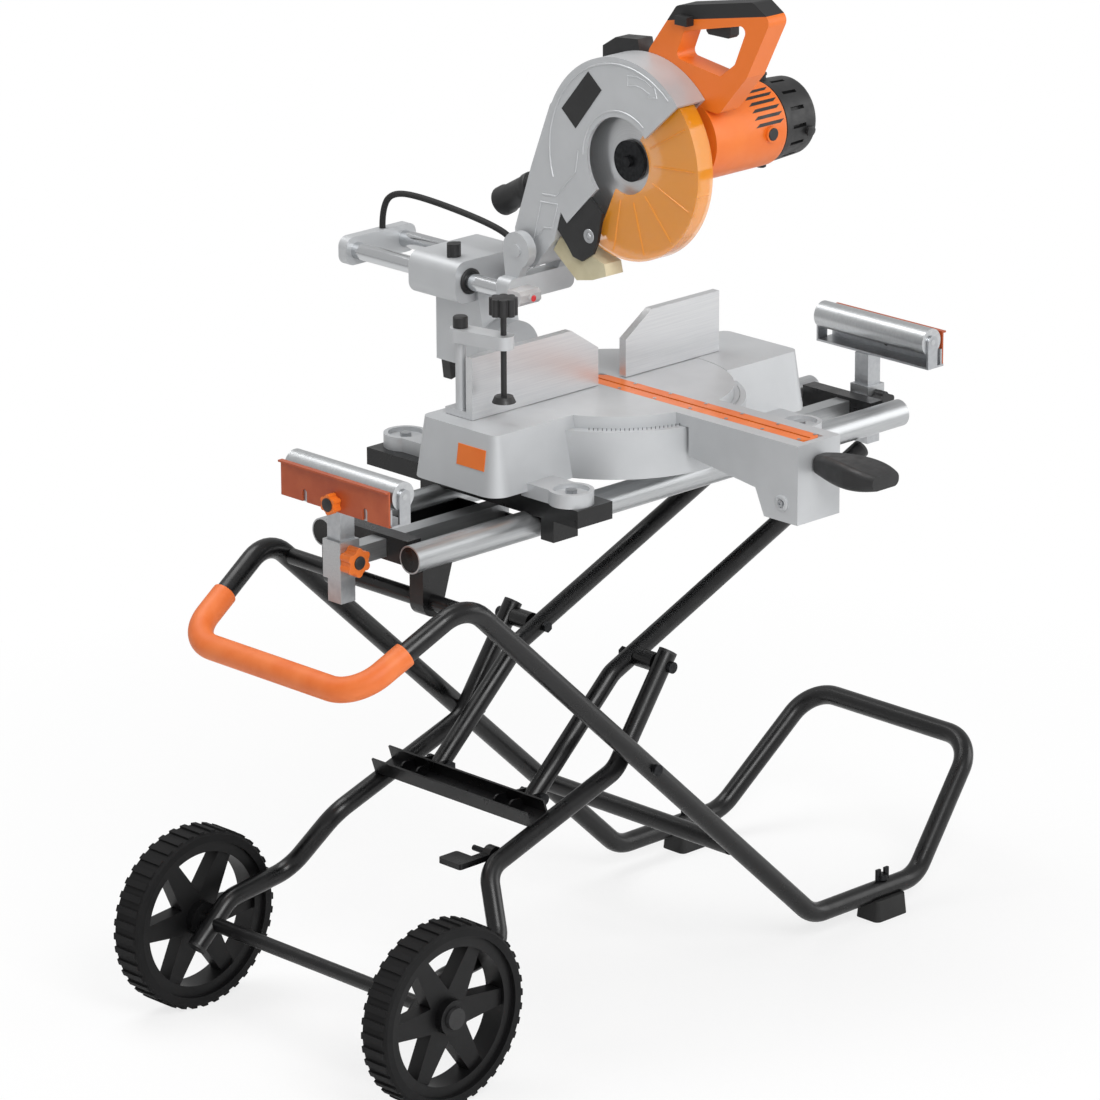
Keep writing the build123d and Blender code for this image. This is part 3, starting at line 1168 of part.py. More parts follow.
# Motor: gear case and housing beside the guard, with a vented rear cap
motor_plane = Plane(origin=(MOTOR_X[0], *MOTOR_AXIS), x_dir=(0, 1, 0), z_dir=(1, 0, 0))
with BuildPart() as motor:
    with BuildSketch(motor_plane):
        Circle(MOTOR_RADIUS)
        with Locations((BLADE_CENTRE[0] - MOTOR_AXIS[0], BLADE_CENTRE[1] - MOTOR_AXIS[1])):
            Circle(GEAR_BOSS)
    extrude(amount=GEAR_CASE)
    with BuildSketch(motor_plane):
        Circle(MOTOR_RADIUS)
    extrude(amount=MOTOR_X[1] - MOTOR_X[0])
    fillet(motor.edges().filter_by(GeomType.CIRCLE).sort_by(Axis.X)[-1:], MOTOR_ROUND)
    with BuildSketch(blade_plane(MOTOR_X[0])):
        Circle(ARBOR / 2 + FIT / 2)
    extrude(amount=ARBOR_REACH + SEAT, mode=Mode.SUBTRACT)
    for side in (-1, 1):
        with Locations((MOTOR_X[1] - BRUSH_CAP[2], MOTOR_AXIS[0] + side * MOTOR_RADIUS, MOTOR_AXIS[1])):
            Cylinder(BRUSH_CAP[0], BRUSH_CAP[1], rotation=(90, 0, 0))
keep(motor.part, "motor_housing")

with BuildPart() as motor_cap:
    with BuildSketch(Plane(origin=(MOTOR_X[1] + FIT, *MOTOR_AXIS), x_dir=(0, 1, 0), z_dir=(1, 0, 0))):
        Circle(MOTOR_RADIUS - MOTOR_LIP)
    extrude(amount=MOTOR_X[2] - MOTOR_X[1], taper=CAP_TAPER)
    fillet(motor_cap.edges().filter_by(GeomType.CIRCLE).sort_by(Axis.X)[-1:], CAP_ROUND)
    with BuildSketch(Plane(origin=(MOTOR_X[1] + VENT_START, *MOTOR_AXIS), x_dir=(0, 1, 0), z_dir=(1, 0, 0))):
        with PolarLocations(MOTOR_RADIUS - MOTOR_LIP, MOTOR_VENTS):
            Rectangle(*VENT[:2])
    extrude(amount=VENT[2], mode=Mode.SUBTRACT)
keep(motor_cap.part, "motor_cap")

# Main handle: a closed loop over the motor, with pockets for the trigger and the lock-off button
handle_plane = side_view.offset(HANDLE_X[0])
handle_depth = HANDLE_X[1] - HANDLE_X[0]
handle_mid_x = (HANDLE_X[0] + HANDLE_X[1]) / 2
with BuildPart() as handle:
    with BuildSketch(handle_plane):
        with BuildLine():
            FilletPolyline(*HANDLE_OUTLINE, radius=HANDLE_ROUND, close=True)
        make_face()
        with BuildLine():
            FilletPolyline(*HANDLE_OPENING, radius=OPENING_ROUND, close=True)
        make_face(mode=Mode.SUBTRACT)
    extrude(amount=handle_depth)
    with Locations((0, *MOTOR_AXIS)):
        Cylinder(MOTOR_RADIUS + FIT, 4 * MOTOR_X[2], rotation=(0, 90, 0), mode=Mode.SUBTRACT)
    with Locations((handle_mid_x, TRIGGER[0], TRIGGER[1] + TRIGGER_SIZE[2] / 2)):
        Box(
            TRIGGER_SIZE[0] + 2 * SEAT,
            TRIGGER_SIZE[1] + 2 * SEAT,
            TRIGGER_SIZE[2] + 2 * TRIGGER_TRAVEL,
            mode=Mode.SUBTRACT,
        )
    with Locations((HANDLE_X[0], *LOCKOFF)):
        Box(2 * LOCKOFF_SIZE[0], LOCKOFF_SIZE[1] + 2 * SEAT, LOCKOFF_SIZE[2] + 2 * SEAT, mode=Mode.SUBTRACT)
keep(handle.part, "main_handle")

with BuildPart() as trigger:
    with Locations((handle_mid_x, *TRIGGER)):
        Box(*TRIGGER_SIZE)
    chamfer(trigger.edges().filter_by(Axis.X).sort_by(Axis.Z)[:2], TRIGGER_EDGE)
keep(trigger.part, "trigger")

with BuildPart() as lockoff:
    with Locations((HANDLE_X[0] - LOCKOFF_TRAVEL, *LOCKOFF)):
        Box(LOCKOFF_SIZE[0], LOCKOFF_SIZE[1], LOCKOFF_SIZE[2])
keep(lockoff.part, "lock_off_button")

# Dust outlet: ribbed hose from the guard to the cuff, and the chute behind the blade
hose_run = Vector(*DUST_END) - Vector(*DUST_START)
hose_plane = Plane(origin=DUST_START, x_dir=(1, 0, 0), z_dir=hose_run)
rib_pitch = hose_run.length * HOSE_SHARE / HOSE_RIBS
with BuildPart() as dust_hose:
    for rib in range(HOSE_RIBS):
        for share, drop in ((0.0, HOSE_RIB), (0.25, 0.0), (0.5, 0.0), (0.75, HOSE_RIB)):
            with BuildSketch(hose_plane.offset((rib + share) * rib_pitch)):
                Circle(HOSE / 2 - drop)
    loft(ruled=True)
    with BuildSketch(hose_plane.offset(hose_run.length * HOSE_SHARE - rib_pitch / 2)):
        Circle(HOSE / 2 + HOSE_RIB)
    extrude(amount=hose_run.length * (1 - HOSE_SHARE) + rib_pitch / 2)
    with BuildSketch(hose_plane.offset(hose_run.length)):
        Circle(DUST_BORE / 2)
    extrude(amount=-hose_run.length + CAP, mode=Mode.SUBTRACT)
keep(dust_hose.part, "dust_hose")

with BuildPart() as chute:
    with BuildSketch(side_view.offset(-CHUTE_WIDTH / 2)):
        with BuildLine():
            Polyline(*CHUTE_OUTLINE, close=True)
        make_face()
    extrude(amount=CHUTE_WIDTH)
keep(chute.part, "dust_chute")

# Lead that arches from the slide housing end of the carriage to the head bracket
with BuildPart() as lead:
    with BuildLine() as lead_path:
        FilletPolyline(*LEAD_ROUTE, radius=LEAD_BEND)
    with BuildSketch(Plane(origin=lead_path.line @ 0, z_dir=lead_path.line % 0)):
        Circle(LEAD / 2)
    sweep()
keep(lead.part, "head_lead")

# Hold-down clamp: post and arm, and the screw with its knob and pad
post_low = TABLE_TOP + 2 * SEAT + FENCE_FOOT[1]
with BuildPart() as clamp_frame:
    with BuildSketch(Plane.XY.offset(post_low)):
        with Locations(CLAMP_POST):
            Circle(CLAMP_ROD / 2)
    extrude(amount=CLAMP_ARM_Z[1] + CLAMP_ROD - post_low)
    arm_run = Vector(CLAMP_SCREW[0] - CLAMP_POST[0], CLAMP_SCREW[1] - CLAMP_POST[1])
    with BuildSketch(Plane(origin=(*CLAMP_POST, CLAMP_ARM_Z[0]), x_dir=arm_run, z_dir=(0, 0, 1))):
        with Locations((arm_run.length / 2, 0)):
            SlotCenterToCenter(arm_run.length, 2 * CLAMP_ROD)
        with Locations((arm_run.length, 0)):
            Circle(BOLT / 2 + FIT / 2, mode=Mode.SUBTRACT)
    extrude(amount=CLAMP_ARM_Z[1] - CLAMP_ARM_Z[0])
keep(clamp_frame.part, "clamp_frame")

knob_low = CLAMP_TOP - 1.3 * KNOB_DEPTH
clamp_screw = star_knob(
    Plane.XY.offset(knob_low).move(Location((*CLAMP_SCREW, 0))),
    0.95 * KNOB_RADIUS,
    1.3 * KNOB_DEPTH,
    KNOB_LOBES + 2,
    BOLT,
    knob_low - CLAMP_PAD_Z,
)
with BuildPart() as clamp_pad:
    add(clamp_screw.part)
    with BuildSketch(Plane.XY.offset(CLAMP_PAD_Z)):
        with Locations(CLAMP_SCREW):
            Circle(2 * BOLT)
    extrude(amount=BOLT, taper=25)
keep(clamp_pad.part, "clamp_screw")
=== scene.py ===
"""A sliding mitre saw on a wheeled folding stand: finishes, small fittings and a plain studio."""

import math

import bmesh
import bpy
from bpy.props import FloatProperty, FloatVectorProperty, PointerProperty
from mathutils import Matrix, Vector


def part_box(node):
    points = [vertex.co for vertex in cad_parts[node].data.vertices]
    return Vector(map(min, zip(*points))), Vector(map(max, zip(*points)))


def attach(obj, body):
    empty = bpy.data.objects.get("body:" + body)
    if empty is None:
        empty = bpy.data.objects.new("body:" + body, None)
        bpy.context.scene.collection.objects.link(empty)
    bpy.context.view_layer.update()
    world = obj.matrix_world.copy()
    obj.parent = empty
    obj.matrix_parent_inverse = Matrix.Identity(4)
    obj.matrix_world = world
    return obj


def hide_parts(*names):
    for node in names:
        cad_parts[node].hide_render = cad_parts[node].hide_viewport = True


bl_info = {
    "name": "Mitre saw on stand",
    "version": (1, 0, 0),
    "blender": (4, 5, 0),
    "location": "View3D > Sidebar > Saw",
    "description": "Finishes a sliding mitre saw and its folding stand and lights them for a product picture",
    "category": "Object",
}

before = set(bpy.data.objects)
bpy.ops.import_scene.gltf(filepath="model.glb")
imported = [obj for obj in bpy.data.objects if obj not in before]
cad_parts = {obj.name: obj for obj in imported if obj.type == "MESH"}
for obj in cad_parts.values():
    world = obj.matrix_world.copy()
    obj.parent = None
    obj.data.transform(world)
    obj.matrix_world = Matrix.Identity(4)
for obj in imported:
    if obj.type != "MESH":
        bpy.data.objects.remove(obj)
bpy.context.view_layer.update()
MM = 0.001

# Levels between which nearly all of a noise pattern lies
NOISE_LOW = 0.35
NOISE_HIGH = 0.65

# Colour sockets of a Mix node
MIX_FIRST = 6
MIX_SECOND = 7
MIX_RESULT = 2

MOULDED_ORANGE = "#e2701e"
FLOOR_WHITE = "#fbfbfb"

# Slope and height in metres of the line on the grip where the black rubber meets the orange body
GRIP_SLOPE = 0.188
GRIP_EDGE = 1.300
GRIP_BLEND = 0.3 * MM


def frame_point(name):
    """Middle of a CAD node's box at rest."""
    low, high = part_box(name)
    return (low + high) / 2


def linear(code):
    """A colour written as a hex value, turned from sRGB to linear."""
    parts = [int(code[place : place + 2], 16) / 255 for place in (1, 3, 5)]
    levels = [part / 12.92 if part <= 0.04045 else ((part + 0.055) / 1.055) ** 2.4 for part in parts]
    return (*levels, 1.0)


def node(tree, kind, links=(), values=(), **settings):
    """Adds a node, sets its properties and socket values, and links its inputs."""
    made = tree.nodes.new(kind)
    for key, value in settings.items():
        setattr(made, key, value)
    for key, value in dict(values).items():
        made.inputs[key].default_value = value
    for key, socket in dict(links).items():
        tree.links.new(socket, made.inputs[key])
    return made


def start_material(name, code, metallic, roughness, **sockets):
    """A new material with its Principled shader, ready for the pattern that the finish needs."""
    material = bpy.data.materials.new(name)
    material.use_nodes = True
    tree = material.node_tree
    shader = tree.nodes["Principled BSDF"]
    shader.inputs["Base Color"].default_value = linear(code)
    shader.inputs["Metallic"].default_value = metallic
    shader.inputs["Roughness"].default_value = roughness
    for key, value in sockets.items():
        shader.inputs[key.replace("_", " ")].default_value = value
    material.diffuse_color = linear(code)
    return material, tree, shader


def object_place(tree, scale=(1, 1, 1), location=(0, 0, 0)):
    """Object coordinates, stretched or moved for one pattern."""
    place = node(tree, "ShaderNodeTexCoord")
    return node(
        tree,
        "ShaderNodeMapping",
        links={"Vector": place.outputs["Object"]},
        values={"Scale": scale, "Location": location},
    ).outputs["Vector"]


def grain(tree, shader, place, size, strength, depth, detail=3.0):
    """A bump of one grain size, in metres, that breaks up the highlights."""
    noise = node(
        tree, "ShaderNodeTexNoise", links={"Vector": place}, values={"Scale": 1 / size, "Detail": detail}
    )
    bump = node(
        tree,
        "ShaderNodeBump",
        links={"Height": noise.outputs["Fac"]},
        values={"Strength": strength, "Distance": depth},
    )
    tree.links.new(bump.outputs["Normal"], shader.inputs["Normal"])


def vary(tree, shader, place, size, low, high):
    """Roughness that changes slowly over the surface, as on handled and clean patches."""
    noise = node(
        tree, "ShaderNodeTexNoise", links={"Vector": place}, values={"Scale": 1 / size, "Detail": 2.0}
    )
    spread = node(
        tree,
        "ShaderNodeMapRange",
        links={"Value": noise.outputs["Fac"]},
        values={"From Min": NOISE_LOW, "From Max": NOISE_HIGH, "To Min": low, "To Max": high},
    )
    tree.links.new(spread.outputs["Result"], shader.inputs["Roughness"])


def tone_between(tree, shader, level, start, end, dark, light):
    """Base colour that goes from a dark to a light tone as a pattern's level rises from start to end."""
    ramp = node(tree, "ShaderNodeValToRGB", links={"Fac": level})
    ramp.color_ramp.elements[0].position = start
    ramp.color_ramp.elements[0].color = linear(dark)
    ramp.color_ramp.elements[1].position = end
    ramp.color_ramp.elements[1].color = linear(light)
    tree.links.new(ramp.outputs["Color"], shader.inputs["Base Color"])


def two_tone(tree, shader, place, size, dark, light):
    """Colour that drifts a little between two close tones, as paint and mouldings do."""
    noise = node(
        tree, "ShaderNodeTexNoise", links={"Vector": place}, values={"Scale": 1 / size, "Detail": 4.0}
    )
    tone_between(tree, shader, noise.outputs["Fac"], NOISE_LOW, NOISE_HIGH, dark, light)


def powder_coated_steel():
    # Baked powder coat on steel tube: deep black with a soft gloss and a faint orange peel.
    material, tree, shader = start_material("powder_coated_steel", "#0a0a0b", 0.0, 0.3, IOR=1.45)
    place = object_place(tree)
    two_tone(tree, shader, place, 60 * MM, "#080809", "#0e0e0f")
    vary(tree, shader, place, 25 * MM, 0.26, 0.36)
    grain(tree, shader, place, 1.6 * MM, 0.12, 0.1 * MM)
    return material


def orange_sleeve():
    # Moulded soft vinyl over the lifting bar: saturated orange, low sheen.
    material, tree, shader = start_material("orange_vinyl_sleeve", "#e37434", 0.0, 0.5, IOR=1.47)
    place = object_place(tree)
    two_tone(tree, shader, place, 40 * MM, "#df6d2c", "#e77b3e")
    grain(tree, shader, place, 1.2 * MM, 0.2, 0.08 * MM)
    return material


def orange_abs():
    # Injection-moulded ABS: even orange with a fine spark-eroded grain.
    material, tree, shader = start_material("orange_moulded_abs", MOULDED_ORANGE, 0.0, 0.42, IOR=1.53)
    place = object_place(tree)
    two_tone(tree, shader, place, 50 * MM, "#df6b19", "#e57524")
    vary(tree, shader, place, 20 * MM, 0.36, 0.46)
    grain(tree, shader, place, 0.9 * MM, 0.15, 0.05 * MM)
    return material


def orange_plate():
    # Stove-enamelled sheet steel: a duller red-orange with a little gloss.
    material, tree, shader = start_material("orange_enamelled_sheet", "#ab4c22", 0.0, 0.4, IOR=1.5)
    place = object_place(tree)
    two_tone(tree, shader, place, 30 * MM, "#a5461d", "#b15227")
    grain(tree, shader, place, 1.5 * MM, 0.1, 0.05 * MM)
    return material


def black_nylon():
    # Glass-filled nylon: near black, matt, with a fine moulded grain.
    material, tree, shader = start_material("black_moulded_nylon", "#151516", 0.0, 0.5, IOR=1.53)
    place = object_place(tree)
    two_tone(tree, shader, place, 30 * MM, "#121213", "#1b1b1c")
    vary(tree, shader, place, 15 * MM, 0.42, 0.58)
    grain(tree, shader, place, 0.9 * MM, 0.25, 0.06 * MM)
    return material


def soft_rubber():
    # Moulded rubber: black with a grey bloom, no clear highlight.
    material, tree, shader = start_material("black_soft_rubber", "#161616", 0.0, 0.72, IOR=1.52)
    place = object_place(tree)
    two_tone(tree, shader, place, 35 * MM, "#121212", "#1e1e1e")
    grain(tree, shader, place, 1.4 * MM, 0.3, 0.1 * MM)
    return material


def zinc_plated_steel():
    # Bright zinc on turned steel: pale grey metal with slightly mottled gloss.
    material, tree, shader = start_material("zinc_plated_steel", "#b4b6b9", 1.0, 0.35)
    place = object_place(tree)
    two_tone(tree, shader, place, 8 * MM, "#afb1b4", "#b9bbbd")
    vary(tree, shader, place, 5 * MM, 0.32, 0.38)
    return material


def black_oxide_steel():
    # Blackened steel screws: dark metal with an oily sheen.
    material, tree, shader = start_material("black_oxide_steel", "#242527", 0.8, 0.4)
    place = object_place(tree)
    two_tone(tree, shader, place, 6 * MM, "#1c1d1f", "#2c2d2f")
    vary(tree, shader, place, 5 * MM, 0.32, 0.5)
    return material


def lacquered_casting():
    # Die-cast aluminium under silver lacquer: fine metallic sparkle and a slightly pebbled skin.
    material, tree, shader = start_material("silver_lacquered_casting", "#c2c4c6", 0.5, 0.44)
    place = object_place(tree)
    two_tone(tree, shader, place, 45 * MM, "#c0c2c4", "#c4c6c8")
    vary(tree, shader, place, 18 * MM, 0.45, 0.48)
    grain(tree, shader, place, 1.1 * MM, 0.16, 0.07 * MM, 5.0)
    return material


def milled_aluminium():
    # Face-milled aluminium: bright, with fine tool lines along the fence.
    material, tree, shader = start_material("milled_aluminium", "#d3d4d5", 0.85, 0.34)
    # The real lines are about 0.3 mm apart; they are drawn at 1.5 mm so that they show.
    place = object_place(tree, scale=(0.02, 1.0, 1.0))
    two_tone(tree, shader, place, 1.5 * MM, "#d0d1d3", "#d8d9da")
    vary(tree, shader, place, 1.5 * MM, 0.31, 0.38)
    return material


def anodised_tube():
    # Clear-anodised extruded tube: satin silver with faint draw lines along its length.
    material, tree, shader = start_material("anodised_aluminium_tube", "#b6b8ba", 0.9, 0.36)
    place = object_place(tree, scale=(0.03, 1.0, 1.0))
    two_tone(tree, shader, place, 2.0 * MM, "#b3b5b7", "#bdbfc0")
    vary(tree, shader, place, 2.0 * MM, 0.33, 0.39)
    return material


def brushed_roller_steel():
    # Brushed steel roller tube: fine rings of brushing around it.
    material, tree, shader = start_material("brushed_steel_roller", "#c0c2c4", 0.95, 0.3)
    place = object_place(tree, scale=(0.3, 1.0, 0.3))
    two_tone(tree, shader, place, 1.6 * MM, "#bcbec0", "#c5c7c8")
    vary(tree, shader, place, 1.6 * MM, 0.28, 0.34)
    return material


def chromed_rod():
    # Hard-chromed ground bar: mirror-like with the faintest grinding haze.
    material, tree, shader = start_material("chromed_slide_rod", "#c9cbcd", 1.0, 0.16)
    place = object_place(tree, scale=(1.0, 0.05, 1.0))
    vary(tree, shader, place, 2.0 * MM, 0.12, 0.2)
    return material


def saw_plate_steel():
    # Ground saw-plate steel: circular marks round the bore, which draw the highlights out into fans.
    material, tree, shader = start_material("ground_saw_plate", "#d0d2d3", 0.8, 0.3, Anisotropic=0.8)
    centre = frame_point("blade")
    flat = object_place(tree, location=(0, -centre[1], -centre[2]), scale=(0, 1, 1))
    around = node(
        tree,
        "ShaderNodeVectorMath",
        links={0: flat},
        values={1: (1, 0, 0)},
        operation="CROSS_PRODUCT",
    )
    brushed = node(
        tree,
        "ShaderNodeVectorTransform",
        links={"Vector": around.outputs["Vector"]},
        vector_type="VECTOR",
        convert_from="OBJECT",
        convert_to="WORLD",
    )
    tree.links.new(brushed.outputs["Vector"], shader.inputs["Tangent"])
    radius = node(tree, "ShaderNodeVectorMath", links={0: flat}, operation="LENGTH")
    rings = node(tree, "ShaderNodeCombineXYZ", links={"X": radius.outputs["Value"]})
    # Grinding marks are about 0.2 mm apart; 1.2 mm is the finest that shows here.
    noise = node(
        tree,
        "ShaderNodeTexNoise",
        links={"Vector": rings.outputs[0]},
        values={"Scale": 1 / (1.2 * MM), "Detail": 2.0},
    )
    tone_between(tree, shader, noise.outputs["Fac"], 0.3, 0.7, "#c6c8ca", "#dadbdc")
    return material


def amber_polycarbonate():
    # Clear tinted polycarbonate: amber, glossy, with the blade showing through.
    material, tree, shader = start_material(
        "amber_polycarbonate", "#ffa822", 0.0, 0.08, IOR=1.58, Alpha=0.46, Coat_Weight=0.4
    )
    place = object_place(tree)
    vary(tree, shader, place, 20 * MM, 0.04, 0.1)
    return material


def clear_polycarbonate():
    # Clear moulded window over the light module.
    material, tree, shader = start_material(
        "clear_polycarbonate", "#e8e6e6", 0.0, 0.15, IOR=1.585, Transmission_Weight=0.6
    )
    place = object_place(tree)
    vary(tree, shader, place, 10 * MM, 0.1, 0.25)
    return material


def red_lens():
    # Red acrylic lens of the cutting-line light: glossy, deep red.
    material, tree, shader = start_material(
        "red_acrylic_lens", "#d3121b", 0.0, 0.1, IOR=1.49, Coat_Weight=0.5
    )
    place = object_place(tree)
    vary(tree, shader, place, 4 * MM, 0.06, 0.14)
    return material


def khaki_rubber():
    # Moulded soft rubber of the dust spout: pale khaki, dull, with a fine moulded grain.
    material, tree, shader = start_material("khaki_moulded_rubber", "#c9c0a0", 0.0, 0.75, IOR=1.5)
    place = object_place(tree)
    two_tone(tree, shader, place, 25 * MM, "#c3b998", "#cfc6a7")
    grain(tree, shader, place, 1.2 * MM, 0.25, 0.1 * MM)
    return material


def wheel_moulding():
    # Polypropylene wheel with a moulded-on rubber tread: satin spokes, dull tread.
    material, tree, shader = start_material("black_wheel_moulding", "#0b0b0c", 0.0, 0.5, IOR=1.36)
    centre = frame_point("wheel_front")
    flat = object_place(tree, location=(-centre[0], 0, -centre[2]), scale=(1, 0, 1))
    reach = node(tree, "ShaderNodeVectorMath", links={0: flat}, operation="LENGTH")
    low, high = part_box("wheel_front")
    rim = (high.x - low.x) / 2
    tread = node(
        tree,
        "ShaderNodeMapRange",
        links={"Value": reach.outputs["Value"]},
        values={"From Min": rim - 17 * MM, "From Max": rim - 15 * MM, "To Min": 0.46, "To Max": 0.75},
    )
    tree.links.new(tread.outputs["Result"], shader.inputs["Roughness"])
    place = object_place(tree)
    two_tone(tree, shader, place, 30 * MM, "#080809", "#0e0e0f")
    grain(tree, shader, place, 1.2 * MM, 0.25, 0.08 * MM)
    return material


def two_shot_handle():
    # Two-shot moulding: orange ABS body with black rubber over the palm side of the grip.
    material, tree, shader = start_material("two_shot_grip", MOULDED_ORANGE, 0.0, 0.45, IOR=1.52)
    place = object_place(tree)
    apart = node(tree, "ShaderNodeSeparateXYZ", links={"Vector": place})
    sloped = node(
        tree,
        "ShaderNodeMath",
        links={0: apart.outputs["Y"], 2: apart.outputs["Z"]},
        values={1: GRIP_SLOPE},
        operation="MULTIPLY_ADD",
    )
    palm = node(
        tree,
        "ShaderNodeMapRange",
        links={"Value": sloped.outputs[0]},
        values={"From Min": GRIP_EDGE - GRIP_BLEND, "From Max": GRIP_EDGE + GRIP_BLEND},
    )
    tone = node(
        tree,
        "ShaderNodeMix",
        links={"Factor": palm.outputs["Result"]},
        data_type="RGBA",
    )
    tone.inputs[MIX_FIRST].default_value = linear(MOULDED_ORANGE)
    tone.inputs[MIX_SECOND].default_value = linear("#171718")
    tree.links.new(tone.outputs[MIX_RESULT], shader.inputs["Base Color"])
    rough = node(
        tree,
        "ShaderNodeMapRange",
        links={"Value": palm.outputs["Result"]},
        values={"To Min": 0.4, "To Max": 0.65},
    )
    tree.links.new(rough.outputs["Result"], shader.inputs["Roughness"])
    grain(tree, shader, place, 1.0 * MM, 0.2, 0.06 * MM)
    return material


def white_floor(colour):
    # Matt white paper sweep: it keeps a soft shadow and runs out to plain white.
    material, tree, shader = start_material("white_paper_sweep", FLOOR_WHITE, 0.0, 0.9)
    shader.inputs["Base Color"].default_value = (*colour, 1.0)
    place = object_place(tree)
    vary(tree, shader, place, 500 * MM, 0.85, 0.95)
    path = node(tree, "ShaderNodeLightPath")
    seen = node(
        tree,
        "ShaderNodeMath",
        links={0: path.outputs["Is Camera Ray"], 1: path.outputs["Is Transmission Ray"]},
        operation="MAXIMUM",
    )
    away = node(tree, "ShaderNodeVectorMath", links={0: place}, operation="LENGTH")
    # The shadow fades away between 0.4 m and 1.6 m from the origin.
    fade = node(
        tree,
        "ShaderNodeMapRange",
        links={"Value": away.outputs["Value"]},
        values={"From Min": 0.4, "From Max": 1.6, "To Min": 0.72, "To Max": 1.0},
    )
    share = node(
        tree,
        "ShaderNodeMath",
        links={0: seen.outputs[0], 1: fade.outputs["Result"]},
        operation="MULTIPLY",
    )
    white = node(tree, "ShaderNodeEmission", values={"Color": (1, 1, 1, 1), "Strength": 1.0})
    mixed = node(
        tree,
        "ShaderNodeMixShader",
        links={0: share.outputs[0], 1: shader.outputs[0], 2: white.outputs[0]},
    )
    tree.links.new(mixed.outputs[0], tree.nodes["Material Output"].inputs["Surface"])
    return material


FINISHES = {}


def finish(maker):
    """One material for each finish, made when it is first needed."""
    if maker.__name__ not in FINISHES:
        FINISHES[maker.__name__] = maker()
    return FINISHES[maker.__name__]


def finish_nodes(maker, *names):
    """Gives CAD nodes their finish."""
    for name in names:
        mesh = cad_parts[name].data
        mesh.materials.clear()
        mesh.materials.append(finish(maker))


def add_piece(name, shape, material, body, smooth=None):
    """Makes an object of a bmesh, gives it its finish and lets it ride on a body.

    Where smooth is given, edges up to that many degrees are shaded smooth.
    """
    mesh = bpy.data.meshes.new(name)
    bmesh.ops.recalc_face_normals(shape, faces=shape.faces)
    shape.to_mesh(mesh)
    shape.free()
    mesh.materials.append(material)
    piece = bpy.data.objects.new(name, mesh)
    bpy.context.scene.collection.objects.link(piece)
    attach(piece, body)
    if smooth:
        mesh.shade_smooth()
        mesh.set_sharp_from_angle(angle=math.radians(smooth))
    return piece


def on_circle(along, middle, radius, turn):
    """A point on a circle about an axis that runs along X, with the turn in degrees from +Y."""
    angle = math.radians(turn)
    return (along, middle[0] + radius * math.cos(angle), middle[1] + radius * math.sin(angle))


def on_face(along, outline):
    """An outline of Y and Z, set on a face that looks along X."""
    return [(along, *corner) for corner in outline]


def lathe(shape, centre, axis, profile, steps=40):
    """Turns a closed profile of (radius, distance along the axis) into a closed ring or knob."""
    axis = Vector(axis).normalized()
    side = axis.orthogonal().normalized()
    other = axis.cross(side)
    centre = Vector(centre)
    rings = []
    for step in range(steps):
        turn = 2 * math.pi * step / steps
        out = side * math.cos(turn) + other * math.sin(turn)
        points = [(centre + out * radius + axis * along) * MM for radius, along in profile]
        rings.append([shape.verts.new(point) for point in points])
    for step in range(steps):
        here, there = rings[step], rings[(step + 1) % steps]
        for place in range(len(profile)):
            after = (place + 1) % len(profile)
            shape.faces.new((here[place], there[place], there[after], here[after]))
    bmesh.ops.remove_doubles(shape, verts=shape.verts, dist=1e-6)


def plate(shape, corners, thickness, edge=0.0):
    """A flat plate on the given corners, pushed out along its own normal, with softened edges."""
    points = [Vector(corner) * MM for corner in corners]
    normal = (points[1] - points[0]).cross(points[2] - points[1]).normalized()
    low = [shape.verts.new(point) for point in points]
    high = [shape.verts.new(point + normal * thickness * MM) for point in points]
    top = shape.faces.new(high)
    shape.faces.new(list(reversed(low)))
    for place in range(len(points)):
        after = (place + 1) % len(points)
        shape.faces.new((low[place], low[after], high[after], high[place]))
    if edge:
        bmesh.ops.bevel(
            shape, geom=list(top.edges), offset=edge * MM, segments=2, affect="EDGES", profile=0.6
        )


# Section of a moulding line, as shares of half its width and of its height, with its feet sunk in
RIDGE_SECTION = ((-1, -0.2), (-0.5, 1), (0.5, 1), (1, -0.2))
# Cosine past which a sharp corner of a moulding line is held short
SHARP_CORNER = 0.35


def ridge(shape, corners, width, height, normal, closed=False):
    """A raised moulding line of the given width along a path on a flat face."""
    normal = Vector(normal)
    points = [Vector(corner) * MM for corner in corners]
    last = len(points) - 1
    rows = []
    for place, point in enumerate(points):
        before = points[place - 1] if closed or place else point
        after = points[(place + 1) % len(points)] if closed or place < last else point
        arriving = normal.cross((point - before).normalized())
        leaving = normal.cross((after - point).normalized())
        across = (arriving + leaving).normalized()
        corner = across.dot(leaving if leaving.length else arriving)
        reach = width * MM / 2 / max(SHARP_CORNER, corner)
        rows.append(
            [
                shape.verts.new(point + across * reach * share + normal * height * rise * MM)
                for share, rise in RIDGE_SECTION
            ]
        )
    for place in range(len(rows) if closed else last):
        here, there = rows[place], rows[(place + 1) % len(rows)]
        for step in range(len(RIDGE_SECTION)):
            after = (step + 1) % len(RIDGE_SECTION)
            shape.faces.new((here[step], there[step], there[after], here[after]))
    if not closed:
        shape.faces.new(rows[0])
        shape.faces.new(list(reversed(rows[-1])))


def new_tree(name, inputs, result):
    """An empty geometry tree with its named inputs and one result."""
    tree = bpy.data.node_groups.new(name, "GeometryNodeTree")
    for label, kind in inputs:
        tree.interface.new_socket(label, in_out="INPUT", socket_type=f"NodeSocket{kind}")
    tree.interface.new_socket(result, in_out="OUTPUT", socket_type="NodeSocketGeometry")
    return tree


